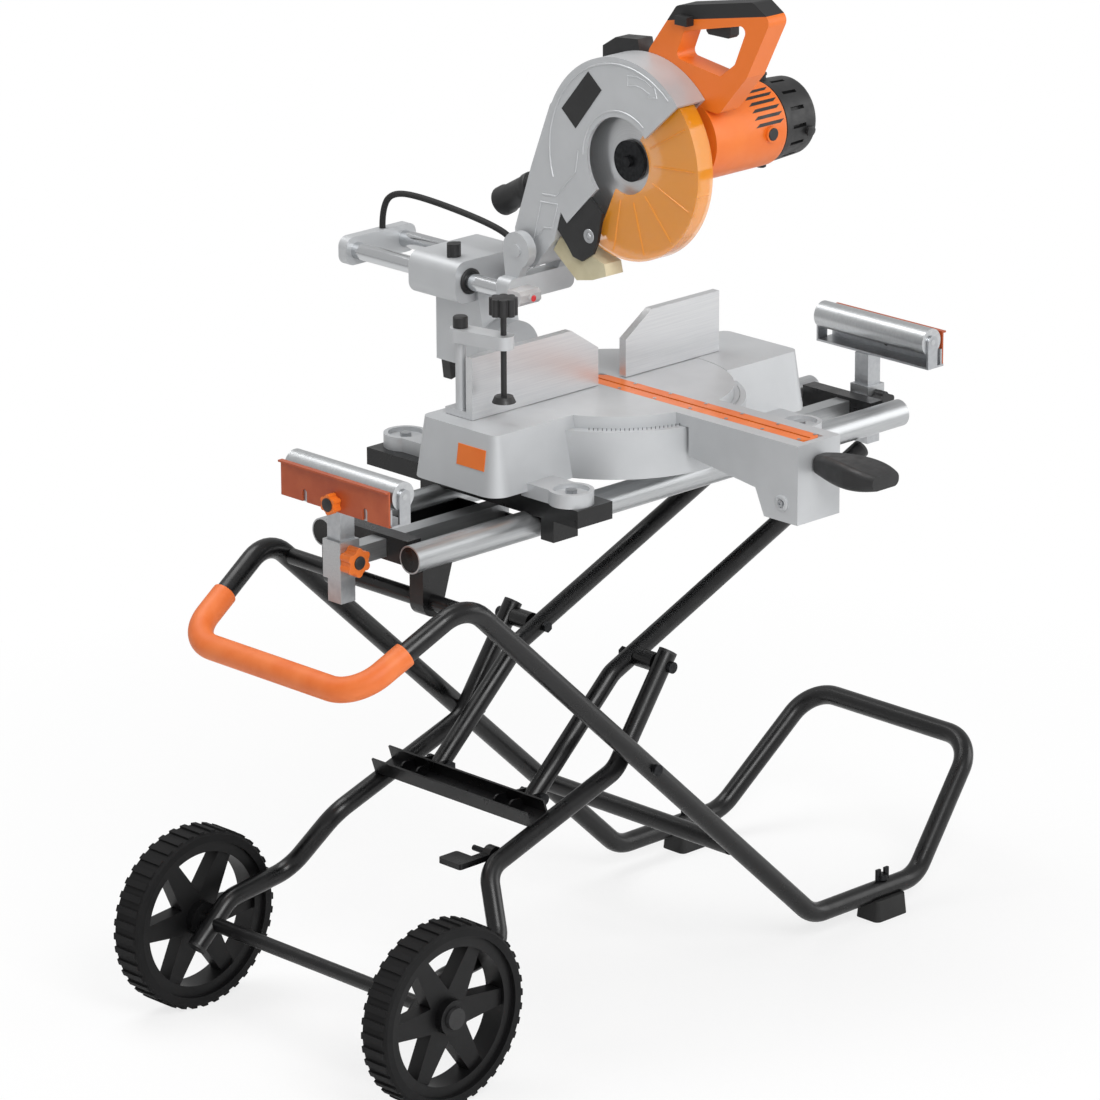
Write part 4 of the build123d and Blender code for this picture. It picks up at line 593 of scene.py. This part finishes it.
def scatter_tree():
    """Geometry nodes that set one small turned head on each point and join them into a mesh."""
    inputs = (
        ("Points", "Geometry"),
        ("Radius", "Float"),
        ("Height", "Float"),
        ("Turn", "Rotation"),
        ("Finish", "Material"),
    )
    tree = new_tree("screw_heads", inputs, "Heads")
    given = node(tree, "NodeGroupInput")
    half_radius, half_height = (
        node(
            tree,
            "ShaderNodeMath",
            links={0: given.outputs[label]},
            values={1: 0.5},
            operation="MULTIPLY",
        ).outputs[0]
        for label in ("Radius", "Height")
    )
    head = node(
        tree,
        "GeometryNodeMeshCone",
        links={
            "Radius Bottom": given.outputs["Radius"],
            "Radius Top": given.outputs["Radius"],
            "Depth": given.outputs["Height"],
        },
        values={"Vertices": 20},
    )
    socket = node(
        tree,
        "GeometryNodeMeshCone",
        links={
            "Radius Bottom": half_radius,
            "Radius Top": half_radius,
            "Depth": given.outputs["Height"],
        },
        values={"Vertices": 6},
    )
    up = node(tree, "ShaderNodeCombineXYZ", links={"Z": half_height})
    raised = node(
        tree,
        "GeometryNodeTransform",
        links={"Geometry": socket.outputs["Mesh"], "Translation": up.outputs[0]},
    )
    drilled = node(
        tree,
        "GeometryNodeMeshBoolean",
        links={"Mesh 1": head.outputs["Mesh"], "Mesh 2": raised.outputs[0]},
        operation="DIFFERENCE",
    )
    placed = node(
        tree,
        "GeometryNodeInstanceOnPoints",
        links={
            "Points": given.outputs["Points"],
            "Instance": drilled.outputs["Mesh"],
            "Rotation": given.outputs["Turn"],
        },
    )
    real = node(tree, "GeometryNodeRealizeInstances", links={"Geometry": placed.outputs[0]})
    coated = node(
        tree,
        "GeometryNodeSetMaterial",
        links={"Geometry": real.outputs[0], "Material": given.outputs["Finish"]},
    )
    node(tree, "NodeGroupOutput", links={"Heads": coated.outputs[0]})
    return tree


def scale_tree():
    """Geometry nodes that lay short marks along an arc, as on an angle scale."""
    inputs = (
        ("Points", "Geometry"),
        *((label, "Float") for label in ("Radius", "Start", "Sweep", "Length", "Width", "Depth")),
        ("Marks", "Int"),
        ("Centre", "Vector"),
        ("Finish", "Material"),
    )
    tree = new_tree("angle_scale", inputs, "Scale")
    given = node(tree, "NodeGroupInput")
    arc = node(
        tree,
        "GeometryNodeCurveArc",
        links={
            "Resolution": given.outputs["Marks"],
            "Radius": given.outputs["Radius"],
            "Start Angle": given.outputs["Start"],
            "Sweep Angle": given.outputs["Sweep"],
        },
        mode="RADIUS",
    )
    spots = node(
        tree,
        "GeometryNodeCurveToPoints",
        links={"Curve": arc.outputs["Curve"], "Count": given.outputs["Marks"]},
        mode="COUNT",
    )
    size = node(
        tree,
        "ShaderNodeCombineXYZ",
        links={
            "X": given.outputs["Depth"],
            "Y": given.outputs["Length"],
            "Z": given.outputs["Width"],
        },
    )
    mark = node(tree, "GeometryNodeMeshCube", links={"Size": size.outputs[0]})
    placed = node(
        tree,
        "GeometryNodeInstanceOnPoints",
        links={
            "Points": spots.outputs["Points"],
            "Instance": mark.outputs["Mesh"],
            "Rotation": spots.outputs["Rotation"],
        },
    )
    real = node(tree, "GeometryNodeRealizeInstances", links={"Geometry": placed.outputs[0]})
    moved = node(
        tree,
        "GeometryNodeTransform",
        links={"Geometry": real.outputs[0], "Translation": given.outputs["Centre"]},
    )
    coated = node(
        tree,
        "GeometryNodeSetMaterial",
        links={"Geometry": moved.outputs[0], "Material": given.outputs["Finish"]},
    )
    node(tree, "NodeGroupOutput", links={"Scale": coated.outputs[0]})
    return tree


def grow(name, tree, inputs, points, body):
    """Runs a geometry tree on a few points and keeps the result as a plain mesh on a body."""
    seed = bpy.data.meshes.new(f"{name}_seed")
    seed.from_pydata([Vector(point) * MM for point in points], [], [])
    holder = bpy.data.objects.new(f"{name}_seed", seed)
    bpy.context.scene.collection.objects.link(holder)
    maker = holder.modifiers.new("grow", "NODES")
    maker.node_group = tree
    for socket in tree.interface.items_tree:
        if socket.in_out == "INPUT" and socket.name in inputs:
            maker[socket.identifier] = inputs[socket.name]
    bpy.context.view_layer.update()
    depsgraph = bpy.context.evaluated_depsgraph_get()
    mesh = bpy.data.meshes.new_from_object(holder.evaluated_get(depsgraph))
    mesh.name = name
    bpy.data.objects.remove(holder)
    bpy.data.meshes.remove(seed)
    piece = bpy.data.objects.new(name, mesh)
    bpy.context.scene.collection.objects.link(piece)
    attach(piece, body)


def screws(name, points, radius, height, turn, body):
    """Socket-head screws on the given points."""
    inputs = {
        "Radius": radius * MM,
        "Height": height * MM,
        "Turn": turn,
        "Finish": finish(zinc_plated_steel),
    }
    grow(name, scatter_tree(), inputs, points, body)


class StudioSizes(bpy.types.PropertyGroup):
    floor_width: FloatProperty(
        name="Floor width", description="Side of the floor", default=14.0, unit="LENGTH"
    )
    floor_colour: FloatVectorProperty(
        name="Floor colour",
        description="Colour of the floor",
        default=linear(FLOOR_WHITE)[:3],
        subtype="COLOR",
    )
    lens: FloatProperty(
        name="Lens", description="Focal length of the camera", default=200.1, unit="CAMERA"
    )
    key_light: FloatProperty(
        name="Key light", description="Power of the large front light", default=120.0, unit="POWER"
    )
    fill_light: FloatProperty(
        name="Fill light", description="Power of the side light", default=45.0, unit="POWER"
    )
    top_light: FloatProperty(
        name="Top light", description="Power of the overhead light", default=70.0, unit="POWER"
    )


class StandFrame(bpy.types.Operator):
    """Black tubes, orange lifting grip and rubber feet of the folding stand"""

    bl_idname = "saw.stand_frame"
    bl_label = "Stand frame"

    def execute(self, context):
        finish_nodes(
            powder_coated_steel,
            "lift_frame",
            "base_loop",
            "cross_tubes",
            "lower_legs",
            "upper_legs",
            "leg_spacers",
            "cross_channel",
            "wheel_axle",
            "foot_pedal",
            "end_bars",
            "hinge_brackets",
            "saw_brackets",
            "tray",
        )
        finish_nodes(orange_sleeve, "handle_grip")
        finish_nodes(soft_rubber, "feet")
        finish_nodes(black_nylon, "end_caps")
        finish_nodes(black_oxide_steel, "frame_fasteners", "leg_fasteners")
        finish_nodes(zinc_plated_steel, "base_bolts")
        return {"FINISHED"}


class Wheels(bpy.types.Operator):
    """Spoked wheels with ribbed treads"""

    bl_idname = "saw.wheels"
    bl_label = "Wheels"

    def execute(self, context):
        finish_nodes(wheel_moulding, "wheel_front", "wheel_rear")
        return {"FINISHED"}


class WorkSupports(bpy.types.Operator):
    """Rails, roller supports and stop plates"""

    bl_idname = "saw.work_supports"
    bl_label = "Work supports"

    def execute(self, context):
        finish_nodes(anodised_tube, "table_rails")
        for side, knob_finish in (("left", orange_abs), ("right", black_nylon)):
            finish_nodes(anodised_tube, f"support_arm_{side}")
            finish_nodes(zinc_plated_steel, f"support_post_{side}")
            finish_nodes(brushed_roller_steel, f"roller_{side}")
            finish_nodes(orange_plate, f"stop_plate_{side}")
            finish_nodes(knob_finish, f"height_knob_{side}", f"stop_knob_{side}")
        return {"FINISHED"}


class SawBase(bpy.types.Operator):
    """Cast base, turntable, fences and the kerf insert"""

    bl_idname = "saw.saw_base"
    bl_label = "Saw base"

    def execute(self, context):
        finish_nodes(lacquered_casting, "saw_base", "turntable")
        finish_nodes(milled_aluminium, "fences")
        finish_nodes(orange_abs, "kerf_insert")
        finish_nodes(black_nylon, "mitre_handle")
        return {"FINISHED"}


class SlideCarriage(bpy.types.Operator):
    """Bevel arm, slide rods, bracket and line light"""

    bl_idname = "saw.slide_carriage"
    bl_label = "Slide carriage"

    def execute(self, context):
        finish_nodes(lacquered_casting, "bevel_arm", "rear_cap", "pivot_bracket")
        finish_nodes(chromed_rod, "slide_rods")
        finish_nodes(black_nylon, "bevel_lever", "slide_lock_knob")
        finish_nodes(clear_polycarbonate, "laser_unit")
        return {"FINISHED"}


class SawHead(bpy.types.Operator):
    """Head casting, motor, handle, blade and guards"""

    bl_idname = "saw.saw_head"
    bl_label = "Saw head"

    def execute(self, context):
        finish_nodes(lacquered_casting, "head_casting")
        finish_nodes(orange_abs, "motor_housing")
        finish_nodes(black_nylon, "motor_cap", "trigger", "lock_off_button")
        finish_nodes(two_shot_handle, "main_handle")
        finish_nodes(saw_plate_steel, "blade")
        finish_nodes(black_oxide_steel, "arbor")
        finish_nodes(amber_polycarbonate, "lower_guard")
        finish_nodes(khaki_rubber, "dust_chute")
        return {"FINISHED"}


class HoldDown(bpy.types.Operator):
    """Hold-down clamp on the fence"""

    bl_idname = "saw.hold_down"
    bl_label = "Hold-down clamp"

    def execute(self, context):
        finish_nodes(lacquered_casting, "clamp_frame")
        finish_nodes(black_nylon, "clamp_screw")
        return {"FINISHED"}


# Places in millimetres that the lead passes, from the rear cap to the bracket
LEAD_ROUTE = (
    (10.0, 454.0, 936.1),
    (10.0, 454.0, 962.0),
    (10.0, 436.0, 990.0),
    (10.0, 380.0, 996.0),
    (10.0, 240.0, 984.0),
    (10.0, 186.0, 968.0),
    (10.0, 178.0, 922.0),
    (10.0, 152.1, 922.0),
)


class SlideLead(bpy.types.Operator):
    """Lead that bows over the slide from the rear cap to the bracket"""

    bl_idname = "saw.slide_lead"
    bl_label = "Slide lead"

    def execute(self, context):
        curve = bpy.data.curves.new("slide_lead", "CURVE")
        curve.dimensions = "3D"
        spline = curve.splines.new("NURBS")
        spline.points.add(len(LEAD_ROUTE) - 1)
        for point, place in zip(spline.points, LEAD_ROUTE):
            point.co = (*(value * MM for value in place), 1.0)
        spline.order_u = 3
        spline.use_endpoint_u = True
        spline.resolution_u = 12
        curve.bevel_depth = 4.5 * MM
        curve.bevel_resolution = 4
        curve.use_fill_caps = True
        lead = bpy.data.objects.new("slide_lead", curve)
        lead.data.materials.append(finish(soft_rubber))
        context.scene.collection.objects.link(lead)
        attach(lead, "carriage")
        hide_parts("head_lead")
        return {"FINISHED"}


# Ends of the dust hose with its cuff, the radius of its bore, and its ribbed length, in millimetres
HOSE_START = Vector((49.4, 96.0, 1092.0))
HOSE_END = Vector((49.4, 254.0, 1004.0))
BORE_RADIUS = 13.0
RIBBED_LENGTH = 112.0
RIB_COUNT = 20
# Radius at each eighth of a rib, from valley to crest and back
RIB_WAVE = (15.6, 15.9, 16.8, 17.6, 17.9, 17.6, 16.8, 15.9)


class DustHose(bpy.types.Operator):
    """Ribbed dust hose and its moulded cuff"""

    bl_idname = "saw.dust_hose"
    bl_label = "Dust hose"

    def execute(self, context):
        axis = HOSE_END - HOSE_START
        length = axis.length
        pitch = RIBBED_LENGTH / RIB_COUNT
        outline = [
            (radius, (rib + step / len(RIB_WAVE)) * pitch)
            for rib in range(RIB_COUNT)
            for step, radius in enumerate(RIB_WAVE)
        ]
        outline += [(RIB_WAVE[0], RIBBED_LENGTH), (BORE_RADIUS, RIBBED_LENGTH), (BORE_RADIUS, 0.0)]
        shape = bmesh.new()
        lathe(shape, HOSE_START, axis, outline)
        hose = add_piece(
            "ribbed_hose", shape, finish(soft_rubber), "head", smooth=35
        )
        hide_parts("dust_hose")
        # The cuff laps 2 mm over the last rib and has a collar at each end.
        cuff = (
            (BORE_RADIUS, RIBBED_LENGTH - 2),
            (18.5, RIBBED_LENGTH - 2),
            (20.0, RIBBED_LENGTH),
            (20.0, RIBBED_LENGTH + 8),
            (18.6, RIBBED_LENGTH + 10),
            (18.6, length - 16),
            (20.6, length - 12),
            (20.6, length - 1.0),
            (19.6, length),
            (BORE_RADIUS, length),
        )
        shape = bmesh.new()
        lathe(shape, HOSE_START, axis, cuff)
        add_piece("hose_cuff", shape, finish(black_nylon), "head", smooth=35)
        return {"FINISHED"}


TO_THE_LEFT = (-1, 0, 0)
# X of the left face of the shroud, of the clear guard and of the link plate's inner side, in millimetres
SHROUD_FACE = -24.0
GUARD_FACE = -14.0
LINK_FACE = -18.0
# Middle of the blade, and the lines on the shroud and arm: arcs about that middle, with their turns in
# degrees, and outlines of Y and Z in millimetres
BLADE_MIDDLE = (-46.0, 1125.0)
BORDER_RADIUS = 133.0
BORDER_TURNS = range(-18, 136, 6)
SILL_RADIUS = 70.0
SILL_TURNS = range(0, 136, 8)
ARM_PANEL = ((118, 990), (98, 1010), (83, 1012), (72, 1047), (104, 1045))
ARM_BROW = ((101, 1056), (74, 1058), (38, 1098), (33, 1128))
BARE_PLATE = ((37.1, 1158.0), (-11.7, 1218.2), (13.3, 1239.3), (63.3, 1181.0))
# The plain arrow that shows which way the blade turns
TURN_ARROW = (
    (-60, 1246),
    (-78, 1247),
    (-93, 1244),
    (-104, 1238),
    (-108, 1243),
    (-114, 1225),
    (-95, 1222),
    (-100, 1228),
    (-88, 1233),
    (-76, 1235),
    (-60, 1232),
)
# The black link plate between the arm and the clear guard
GUARD_LINK = (
    (21.2, 1076.3),
    (80.4, 1019.0),
    (57.2, 996.0),
    (44.5, 979.9),
    (27.5, 976.4),
    (6.4, 990.3),
    (-2.1, 1008.9),
    (-10.6, 1048.8),
)
LINK_ROLLER = (-20.4, 13.9, 1014.1)
# Turns in degrees of the clear guard's ribs, and how far from the blade's middle they run
RIB_TURNS = range(150, 281, 26)
RIB_REACHES = (54.0, 90.0, 126.0)


class ShroudMouldings(bpy.types.Operator):
    """Moulding lines, the bare plate and the link plate on the blade shroud, and the guard's ribs"""

    bl_idname = "saw.shroud_mouldings"
    bl_label = "Shroud mouldings"

    def execute(self, context):
        border = [on_circle(SHROUD_FACE, BLADE_MIDDLE, BORDER_RADIUS, turn) for turn in BORDER_TURNS]
        sill = [on_circle(SHROUD_FACE, BLADE_MIDDLE, SILL_RADIUS, turn) for turn in SILL_TURNS]
        shape = bmesh.new()
        ridge(shape, on_face(SHROUD_FACE, ARM_PANEL), 2.6, 1.0, TO_THE_LEFT, closed=True)
        ridge(shape, on_face(SHROUD_FACE, ARM_BROW), 2.6, 1.0, TO_THE_LEFT)
        ridge(shape, border, 3.0, 1.2, TO_THE_LEFT)
        ridge(shape, sill, 3.0, 1.0, TO_THE_LEFT)
        ridge(shape, on_face(SHROUD_FACE, TURN_ARROW), 1.6, 0.7, TO_THE_LEFT, closed=True)
        add_piece("shroud_lines", shape, finish(lacquered_casting), "head")
        shape = bmesh.new()
        plate(shape, on_face(SHROUD_FACE, BARE_PLATE), 0.8, 0.3)
        add_piece("shroud_plate", shape, finish(black_nylon), "head")
        shape = bmesh.new()
        plate(shape, on_face(LINK_FACE, GUARD_LINK), 5.0, 0.8)
        add_piece("guard_link", shape, finish(black_nylon), "head")
        shape = bmesh.new()
        roller = ((0, -1), (10, -1), (10, 2.4), (9.2, 3.2), (4.2, 3.2), (4.2, 2.6), (3.4, 3.6), (0, 3.6))
        lathe(shape, LINK_ROLLER, TO_THE_LEFT, roller)
        add_piece("guard_roller", shape, finish(zinc_plated_steel), "head", smooth=40)
        shape = bmesh.new()
        for turn in RIB_TURNS:
            rib = [on_circle(GUARD_FACE, BLADE_MIDDLE, reach, turn) for reach in RIB_REACHES]
            ridge(shape, rib, 3.0, 1.0, TO_THE_LEFT)
        add_piece("guard_ribs", shape, finish(amber_polycarbonate), "lower_guard")
        return {"FINISHED"}


# Middle of the motor as Y and Z, the X of its brush caps and of its end, and how far from the middle
# the end's screws lie each way, in millimetres
MOTOR_MIDDLE = (-115.0, 1160.0)
BRUSH_PLACE = 131.0
MOTOR_END = 228.0
MOTOR_SCREW_REACH = 26
# The vents lie in the housing's skin: radius, turns and half their own turn in degrees, ends on X, and slant
VENT_RADIUS = 57.95
VENT_TURNS = range(116, 176, 10)
VENT_HALF_TURN = 2.2
VENT_START = 104.0
VENT_END = 158.0
VENT_SLANT = 8.0
# X, distance from the motor's middle and turn in degrees of each peg that the cord winds on
CORD_PEGS = ((178.0, 55.0, 85), (208.0, 51.0, 190), (178.0, 55.0, 275))
# The black cover behind the top of the shroud, from this X, as Y and Z in millimetres
GEAR_COVER_PLACE = 27.6
GEAR_COVER = ((38, 1215), (38, 1262), (14, 1277), (-27, 1281), (-36, 1250), (-20, 1215))


class MotorFittings(bpy.types.Operator):
    """Vents, brush caps, cord pegs, gear cover and screws of the motor"""

    bl_idname = "saw.motor_fittings"
    bl_label = "Motor fittings"

    def execute(self, context):
        low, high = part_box("motor_housing")
        shape = bmesh.new()
        cap = ((0, -1), (8.5, -1), (8.5, 1.0), (7.3, 1.8), (0, 1.8))
        for place, axis in ((low.y, -1), (high.y, 1)):
            lathe(shape, (BRUSH_PLACE, place / MM, MOTOR_MIDDLE[1]), (0, axis, 0), cap)
        add_piece("brush_caps", shape, finish(black_nylon), "head")
        shape = bmesh.new()
        for turn in VENT_TURNS:
            lower = on_circle(0, MOTOR_MIDDLE, VENT_RADIUS, turn - VENT_HALF_TURN)[1:]
            upper = on_circle(0, MOTOR_MIDDLE, VENT_RADIUS, turn + VENT_HALF_TURN)[1:]
            corners = (
                (VENT_START + VENT_SLANT, *lower),
                (VENT_START, *upper),
                (VENT_END - VENT_SLANT, *upper),
                (VENT_END, *lower),
            )
            plate(shape, corners, 0.4)
        add_piece("motor_vents", shape, finish(black_nylon), "head")
        shape = bmesh.new()
        peg = ((0, -3), (6, -3), (6, 5), (7.5, 6), (7.5, 9), (6, 10), (0, 10))
        for along, reach, turn in CORD_PEGS:
            foot = on_circle(along, MOTOR_MIDDLE, reach, turn)
            out = (0, math.cos(math.radians(turn)), math.sin(math.radians(turn)))
            lathe(shape, foot, out, peg, 24)
        add_piece("cord_pegs", shape, finish(black_nylon), "head", smooth=40)
        shape = bmesh.new()
        plate(shape, on_face(GEAR_COVER_PLACE, GEAR_COVER), 30.0, 5.0)
        add_piece("gear_cover", shape, finish(black_nylon), "head")
        heads = [
            (MOTOR_END, MOTOR_MIDDLE[0] + side, MOTOR_MIDDLE[1] + rise)
            for side in (-MOTOR_SCREW_REACH, MOTOR_SCREW_REACH)
            for rise in (-MOTOR_SCREW_REACH, MOTOR_SCREW_REACH)
        ]
        screws("motor_screws", heads, 3.2, 1.6, (0, math.pi / 2, 0), "head")
        return {"FINISHED"}


class KnobCentres(bpy.types.Operator):
    """Black centres of the two orange star knobs"""

    bl_idname = "saw.knob_centres"
    bl_label = "Knob centres"

    def execute(self, context):
        button = ((0, -1), (9, -1), (9, 1.2), (7.5, 2.4), (4, 3), (0, 3.2))
        for name, axis in (("height_knob_left", (0, -1, 0)), ("stop_knob_left", TO_THE_LEFT)):
            middle = frame_point(name)
            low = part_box(name)[0]
            outer = Vector(tuple(low[place] if axis[place] else middle[place] for place in range(3)))
            shape = bmesh.new()
            lathe(shape, outer / MM, axis, button)
            add_piece(f"{name}_centre", shape, finish(black_nylon), name, smooth=50)
        return {"FINISHED"}


# Half the spacing and the height of the slide rods, and the Y of the housing's two ends, in millimetres
ROD_SIDE = 45.0
ROD_HEIGHT = 916.0
HOUSING_FRONT = 221.0
HOUSING_BACK = 314.0


class SlideBushes(bpy.types.Operator):
    """Dark bushes where the slide rods run through the housing, and the lens of the line light"""

    bl_idname = "saw.slide_bushes"
    bl_label = "Slide bushes"

    def execute(self, context):
        shape = bmesh.new()
        ring = ((12.3, -2), (18, -2), (18, 2.4), (16.5, 3.6), (12.3, 3.6))
        for side in (-ROD_SIDE, ROD_SIDE):
            lathe(shape, (side, HOUSING_FRONT, ROD_HEIGHT), (0, -1, 0), ring)
            lathe(shape, (side, HOUSING_BACK, ROD_HEIGHT), (0, 1, 0), ring)
        add_piece("slide_bushes", shape, finish(black_nylon), "bevel_arm", smooth=50)
        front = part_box("laser_unit")[0].y / MM
        shape = bmesh.new()
        lens = ((0, -1), (4.6, -1), (4.6, 0.1), (3, 0.4), (0, 0.5))
        lathe(shape, (-ROD_SIDE, front, ROD_HEIGHT), (0, -1, 0), lens)
        add_piece("line_light_lens", shape, finish(red_lens), "carriage")
        return {"FINISHED"}


# Corners of the bare plate on the left wall of the base, as Y and Z in millimetres
PLATE_CORNERS = ((-66.0, 763.0), (-66.0, 791.0), (-14.0, 791.0), (-14.0, 763.0))
# X and Z of the top of that wall in millimetres, and how far it leans out for each millimetre down
WALL_TOP = (-290.7, 792.7)
WALL_SLOPE = 0.142
# Height of the deck, and how far to each side and where on Y the insert's screws lie, in millimetres
DECK_HEIGHT = 812.0
INSERT_SCREW_SIDE = 15.0
INSERT_SCREW_ROW = range(-366, 31, 66)
# Middle of the boss on the turntable's arm, and how far out its screw is set, in millimetres
ARM_BOSS = (-40.0, -360.2, 729.2)
ARM_SCREW_OUT = 1.4


def base_side(height):
    """X of the base's sloping left wall at a height, in millimetres."""
    return WALL_TOP[0] - WALL_SLOPE * (WALL_TOP[1] - height)


class BaseFittings(bpy.types.Operator):
    """Bare plate, angle scale and screws of the base and turntable"""

    bl_idname = "saw.base_fittings"
    bl_label = "Base fittings"

    def execute(self, context):
        shape = bmesh.new()
        plate(shape, [(base_side(height), along, height) for along, height in PLATE_CORNERS], 1.0, 0.4)
        add_piece("base_plate", shape, finish(orange_abs), "table")
        marks = {
            "Radius": 169.5 * MM,
            "Start": math.radians(-146),
            "Sweep": math.radians(112),
            "Length": 7 * MM,
            "Width": 0.8 * MM,
            "Depth": 0.2 * MM,
            "Marks": 57,
            "Centre": Vector((0, -10, 795)) * MM,
            "Finish": finish(black_nylon),
        }
        grow("angle_scale", scale_tree(), marks, [(0, 0, 0)], "table")
        rows = [
            (side, along, DECK_HEIGHT)
            for side in (-INSERT_SCREW_SIDE, INSERT_SCREW_SIDE)
            for along in INSERT_SCREW_ROW
        ]
        screws("insert_screws", rows, 2.6, 0.5, (0, 0, 0), "turntable")
        shape = bmesh.new()
        boss = ((0, -1), (11, -1), (11, 1.6), (9.5, 2.6), (6.2, 2.6), (5.6, 1.4), (0, 1.4))
        lathe(shape, ARM_BOSS, TO_THE_LEFT, boss)
        add_piece("arm_boss", shape, finish(lacquered_casting), "turntable", smooth=40)
        head = (ARM_BOSS[0] - ARM_SCREW_OUT, *ARM_BOSS[1:])
        screws("arm_screw", [head], 4.6, 3.0, (0, -math.pi / 2, 0), "turntable")
        return {"FINISHED"}


# Point on the floor under the clamp's post, and the height where its cap starts, in millimetres
CLAMP_POST = (-252.0, 22.0, 0.0)
CLAMP_CAP_SEAT = 933.2


class ClampFittings(bpy.types.Operator):
    """Black cap on the post of the hold-down clamp"""

    bl_idname = "saw.clamp_fittings"
    bl_label = "Clamp fittings"

    def execute(self, context):
        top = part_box("clamp_frame")[1].z / MM
        shape = bmesh.new()
        cap = ((0, CLAMP_CAP_SEAT), (10, CLAMP_CAP_SEAT), (10, top), (8.5, top + 1.6), (0, top + 2))
        lathe(shape, CLAMP_POST, (0, 0, 1), cap)
        add_piece("clamp_cap", shape, finish(black_nylon), "table", smooth=40)
        return {"FINISHED"}


# Strength of the white room as plain light, and as glossy surfaces see it
ROOM_LEVEL = 0.35
MIRRORED_LEVEL = 0.6
# Name, width and place in metres of each lamp, and the point that the lamps face
LAMPS = (
    ("key", 2.2, (-1.6, -3.4, 3.2)),
    ("fill", 2.6, (3.4, -2.2, 1.8)),
    ("top", 2.4, (-0.6, 1.2, 4.0)),
)
LAMP_TARGET = Vector((0, 0, 0.7))
# Place of the camera in metres, with the ways to its right and ahead of it
CAMERA_PLACE = (-5.5584, -5.5780, 3.1395)
CAMERA_RIGHT = Vector((0.7146, -0.6995, -0.0035))
CAMERA_AHEAD = Vector((0.6643, 0.6802, -0.3099))


class Studio(bpy.types.Operator):
    """White floor, soft lamps and the camera"""

    bl_idname = "saw.studio"
    bl_label = "Studio"

    def execute(self, context):
        sizes = context.scene.saw_studio
        floor_shape = bmesh.new()
        bmesh.ops.create_grid(floor_shape, x_segments=1, y_segments=1, size=sizes.floor_width / 2)
        mesh = bpy.data.meshes.new("floor")
        floor_shape.to_mesh(mesh)
        floor_shape.free()
        mesh.materials.append(white_floor(sizes.floor_colour))
        floor = bpy.data.objects.new("floor", mesh)
        context.scene.collection.objects.link(floor)

        world = bpy.data.worlds.new("white_studio")
        world.use_nodes = True
        context.scene.world = world
        tree = world.node_tree
        background = tree.nodes["Background"]
        background.inputs["Color"].default_value = (1, 1, 1, 1)
        path = node(tree, "ShaderNodeLightPath")
        mirrored = node(
            tree,
            "ShaderNodeMath",
            links={0: path.outputs["Is Glossy Ray"]},
            values={1: MIRRORED_LEVEL},
            operation="MULTIPLY",
        )
        level = node(
            tree,
            "ShaderNodeMath",
            links={0: mirrored.outputs[0]},
            values={1: ROOM_LEVEL},
            operation="MAXIMUM",
        )
        for ray in ("Is Camera Ray", "Is Transmission Ray"):
            level = node(
                tree,
                "ShaderNodeMath",
                links={0: level.outputs[0], 1: path.outputs[ray]},
                operation="MAXIMUM",
            )
        tree.links.new(level.outputs[0], background.inputs["Strength"])

        for name, width, place in LAMPS:
            lamp = bpy.data.lights.new(name, "AREA")
            lamp.energy = getattr(sizes, f"{name}_light")
            lamp.size = width
            holder = bpy.data.objects.new(name, lamp)
            holder.location = place
            holder.rotation_euler = (LAMP_TARGET - Vector(place)).to_track_quat("-Z", "Y").to_euler()
            context.scene.collection.objects.link(holder)

        camera = bpy.data.cameras.new("camera")
        camera.sensor_width = 36.0
        camera.lens = sizes.lens
        camera.clip_end = 60
        holder = bpy.data.objects.new("camera", camera)
        right = CAMERA_RIGHT.normalized()
        ahead = CAMERA_AHEAD.normalized()
        up = right.cross(ahead)
        holder.matrix_world = Matrix((*zip(right, up, -ahead, CAMERA_PLACE), (0, 0, 0, 1)))
        context.scene.collection.objects.link(holder)
        context.scene.camera = holder
        context.scene.view_settings.view_transform = "Standard"
        return {"FINISHED"}


class SawPanel(bpy.types.Panel):
    """Lists the pieces of the saw and its stand"""

    bl_idname = "SAW_PT_pieces"
    bl_label = "Mitre saw on stand"
    bl_space_type = "VIEW_3D"
    bl_region_type = "UI"
    bl_category = "Saw"

    def draw(self, context):
        for operator in OPERATORS:
            self.layout.operator(operator.bl_idname)


OPERATORS = (
    StandFrame,
    Wheels,
    WorkSupports,
    SawBase,
    SlideCarriage,
    SawHead,
    HoldDown,
    SlideLead,
    DustHose,
    ShroudMouldings,
    MotorFittings,
    KnobCentres,
    SlideBushes,
    BaseFittings,
    ClampFittings,
    Studio,
)


def register():
    for item in (StudioSizes, *OPERATORS, SawPanel):
        bpy.utils.register_class(item)
    bpy.types.Scene.saw_studio = PointerProperty(type=StudioSizes)


def unregister():
    del bpy.types.Scene.saw_studio
    for item in reversed((StudioSizes, *OPERATORS, SawPanel)):
        bpy.utils.unregister_class(item)


def main():
    register()
    for operator in OPERATORS:
        group, name = operator.bl_idname.split(".")
        getattr(getattr(bpy.ops, group), name)()


if __name__ == "__main__":
    main()
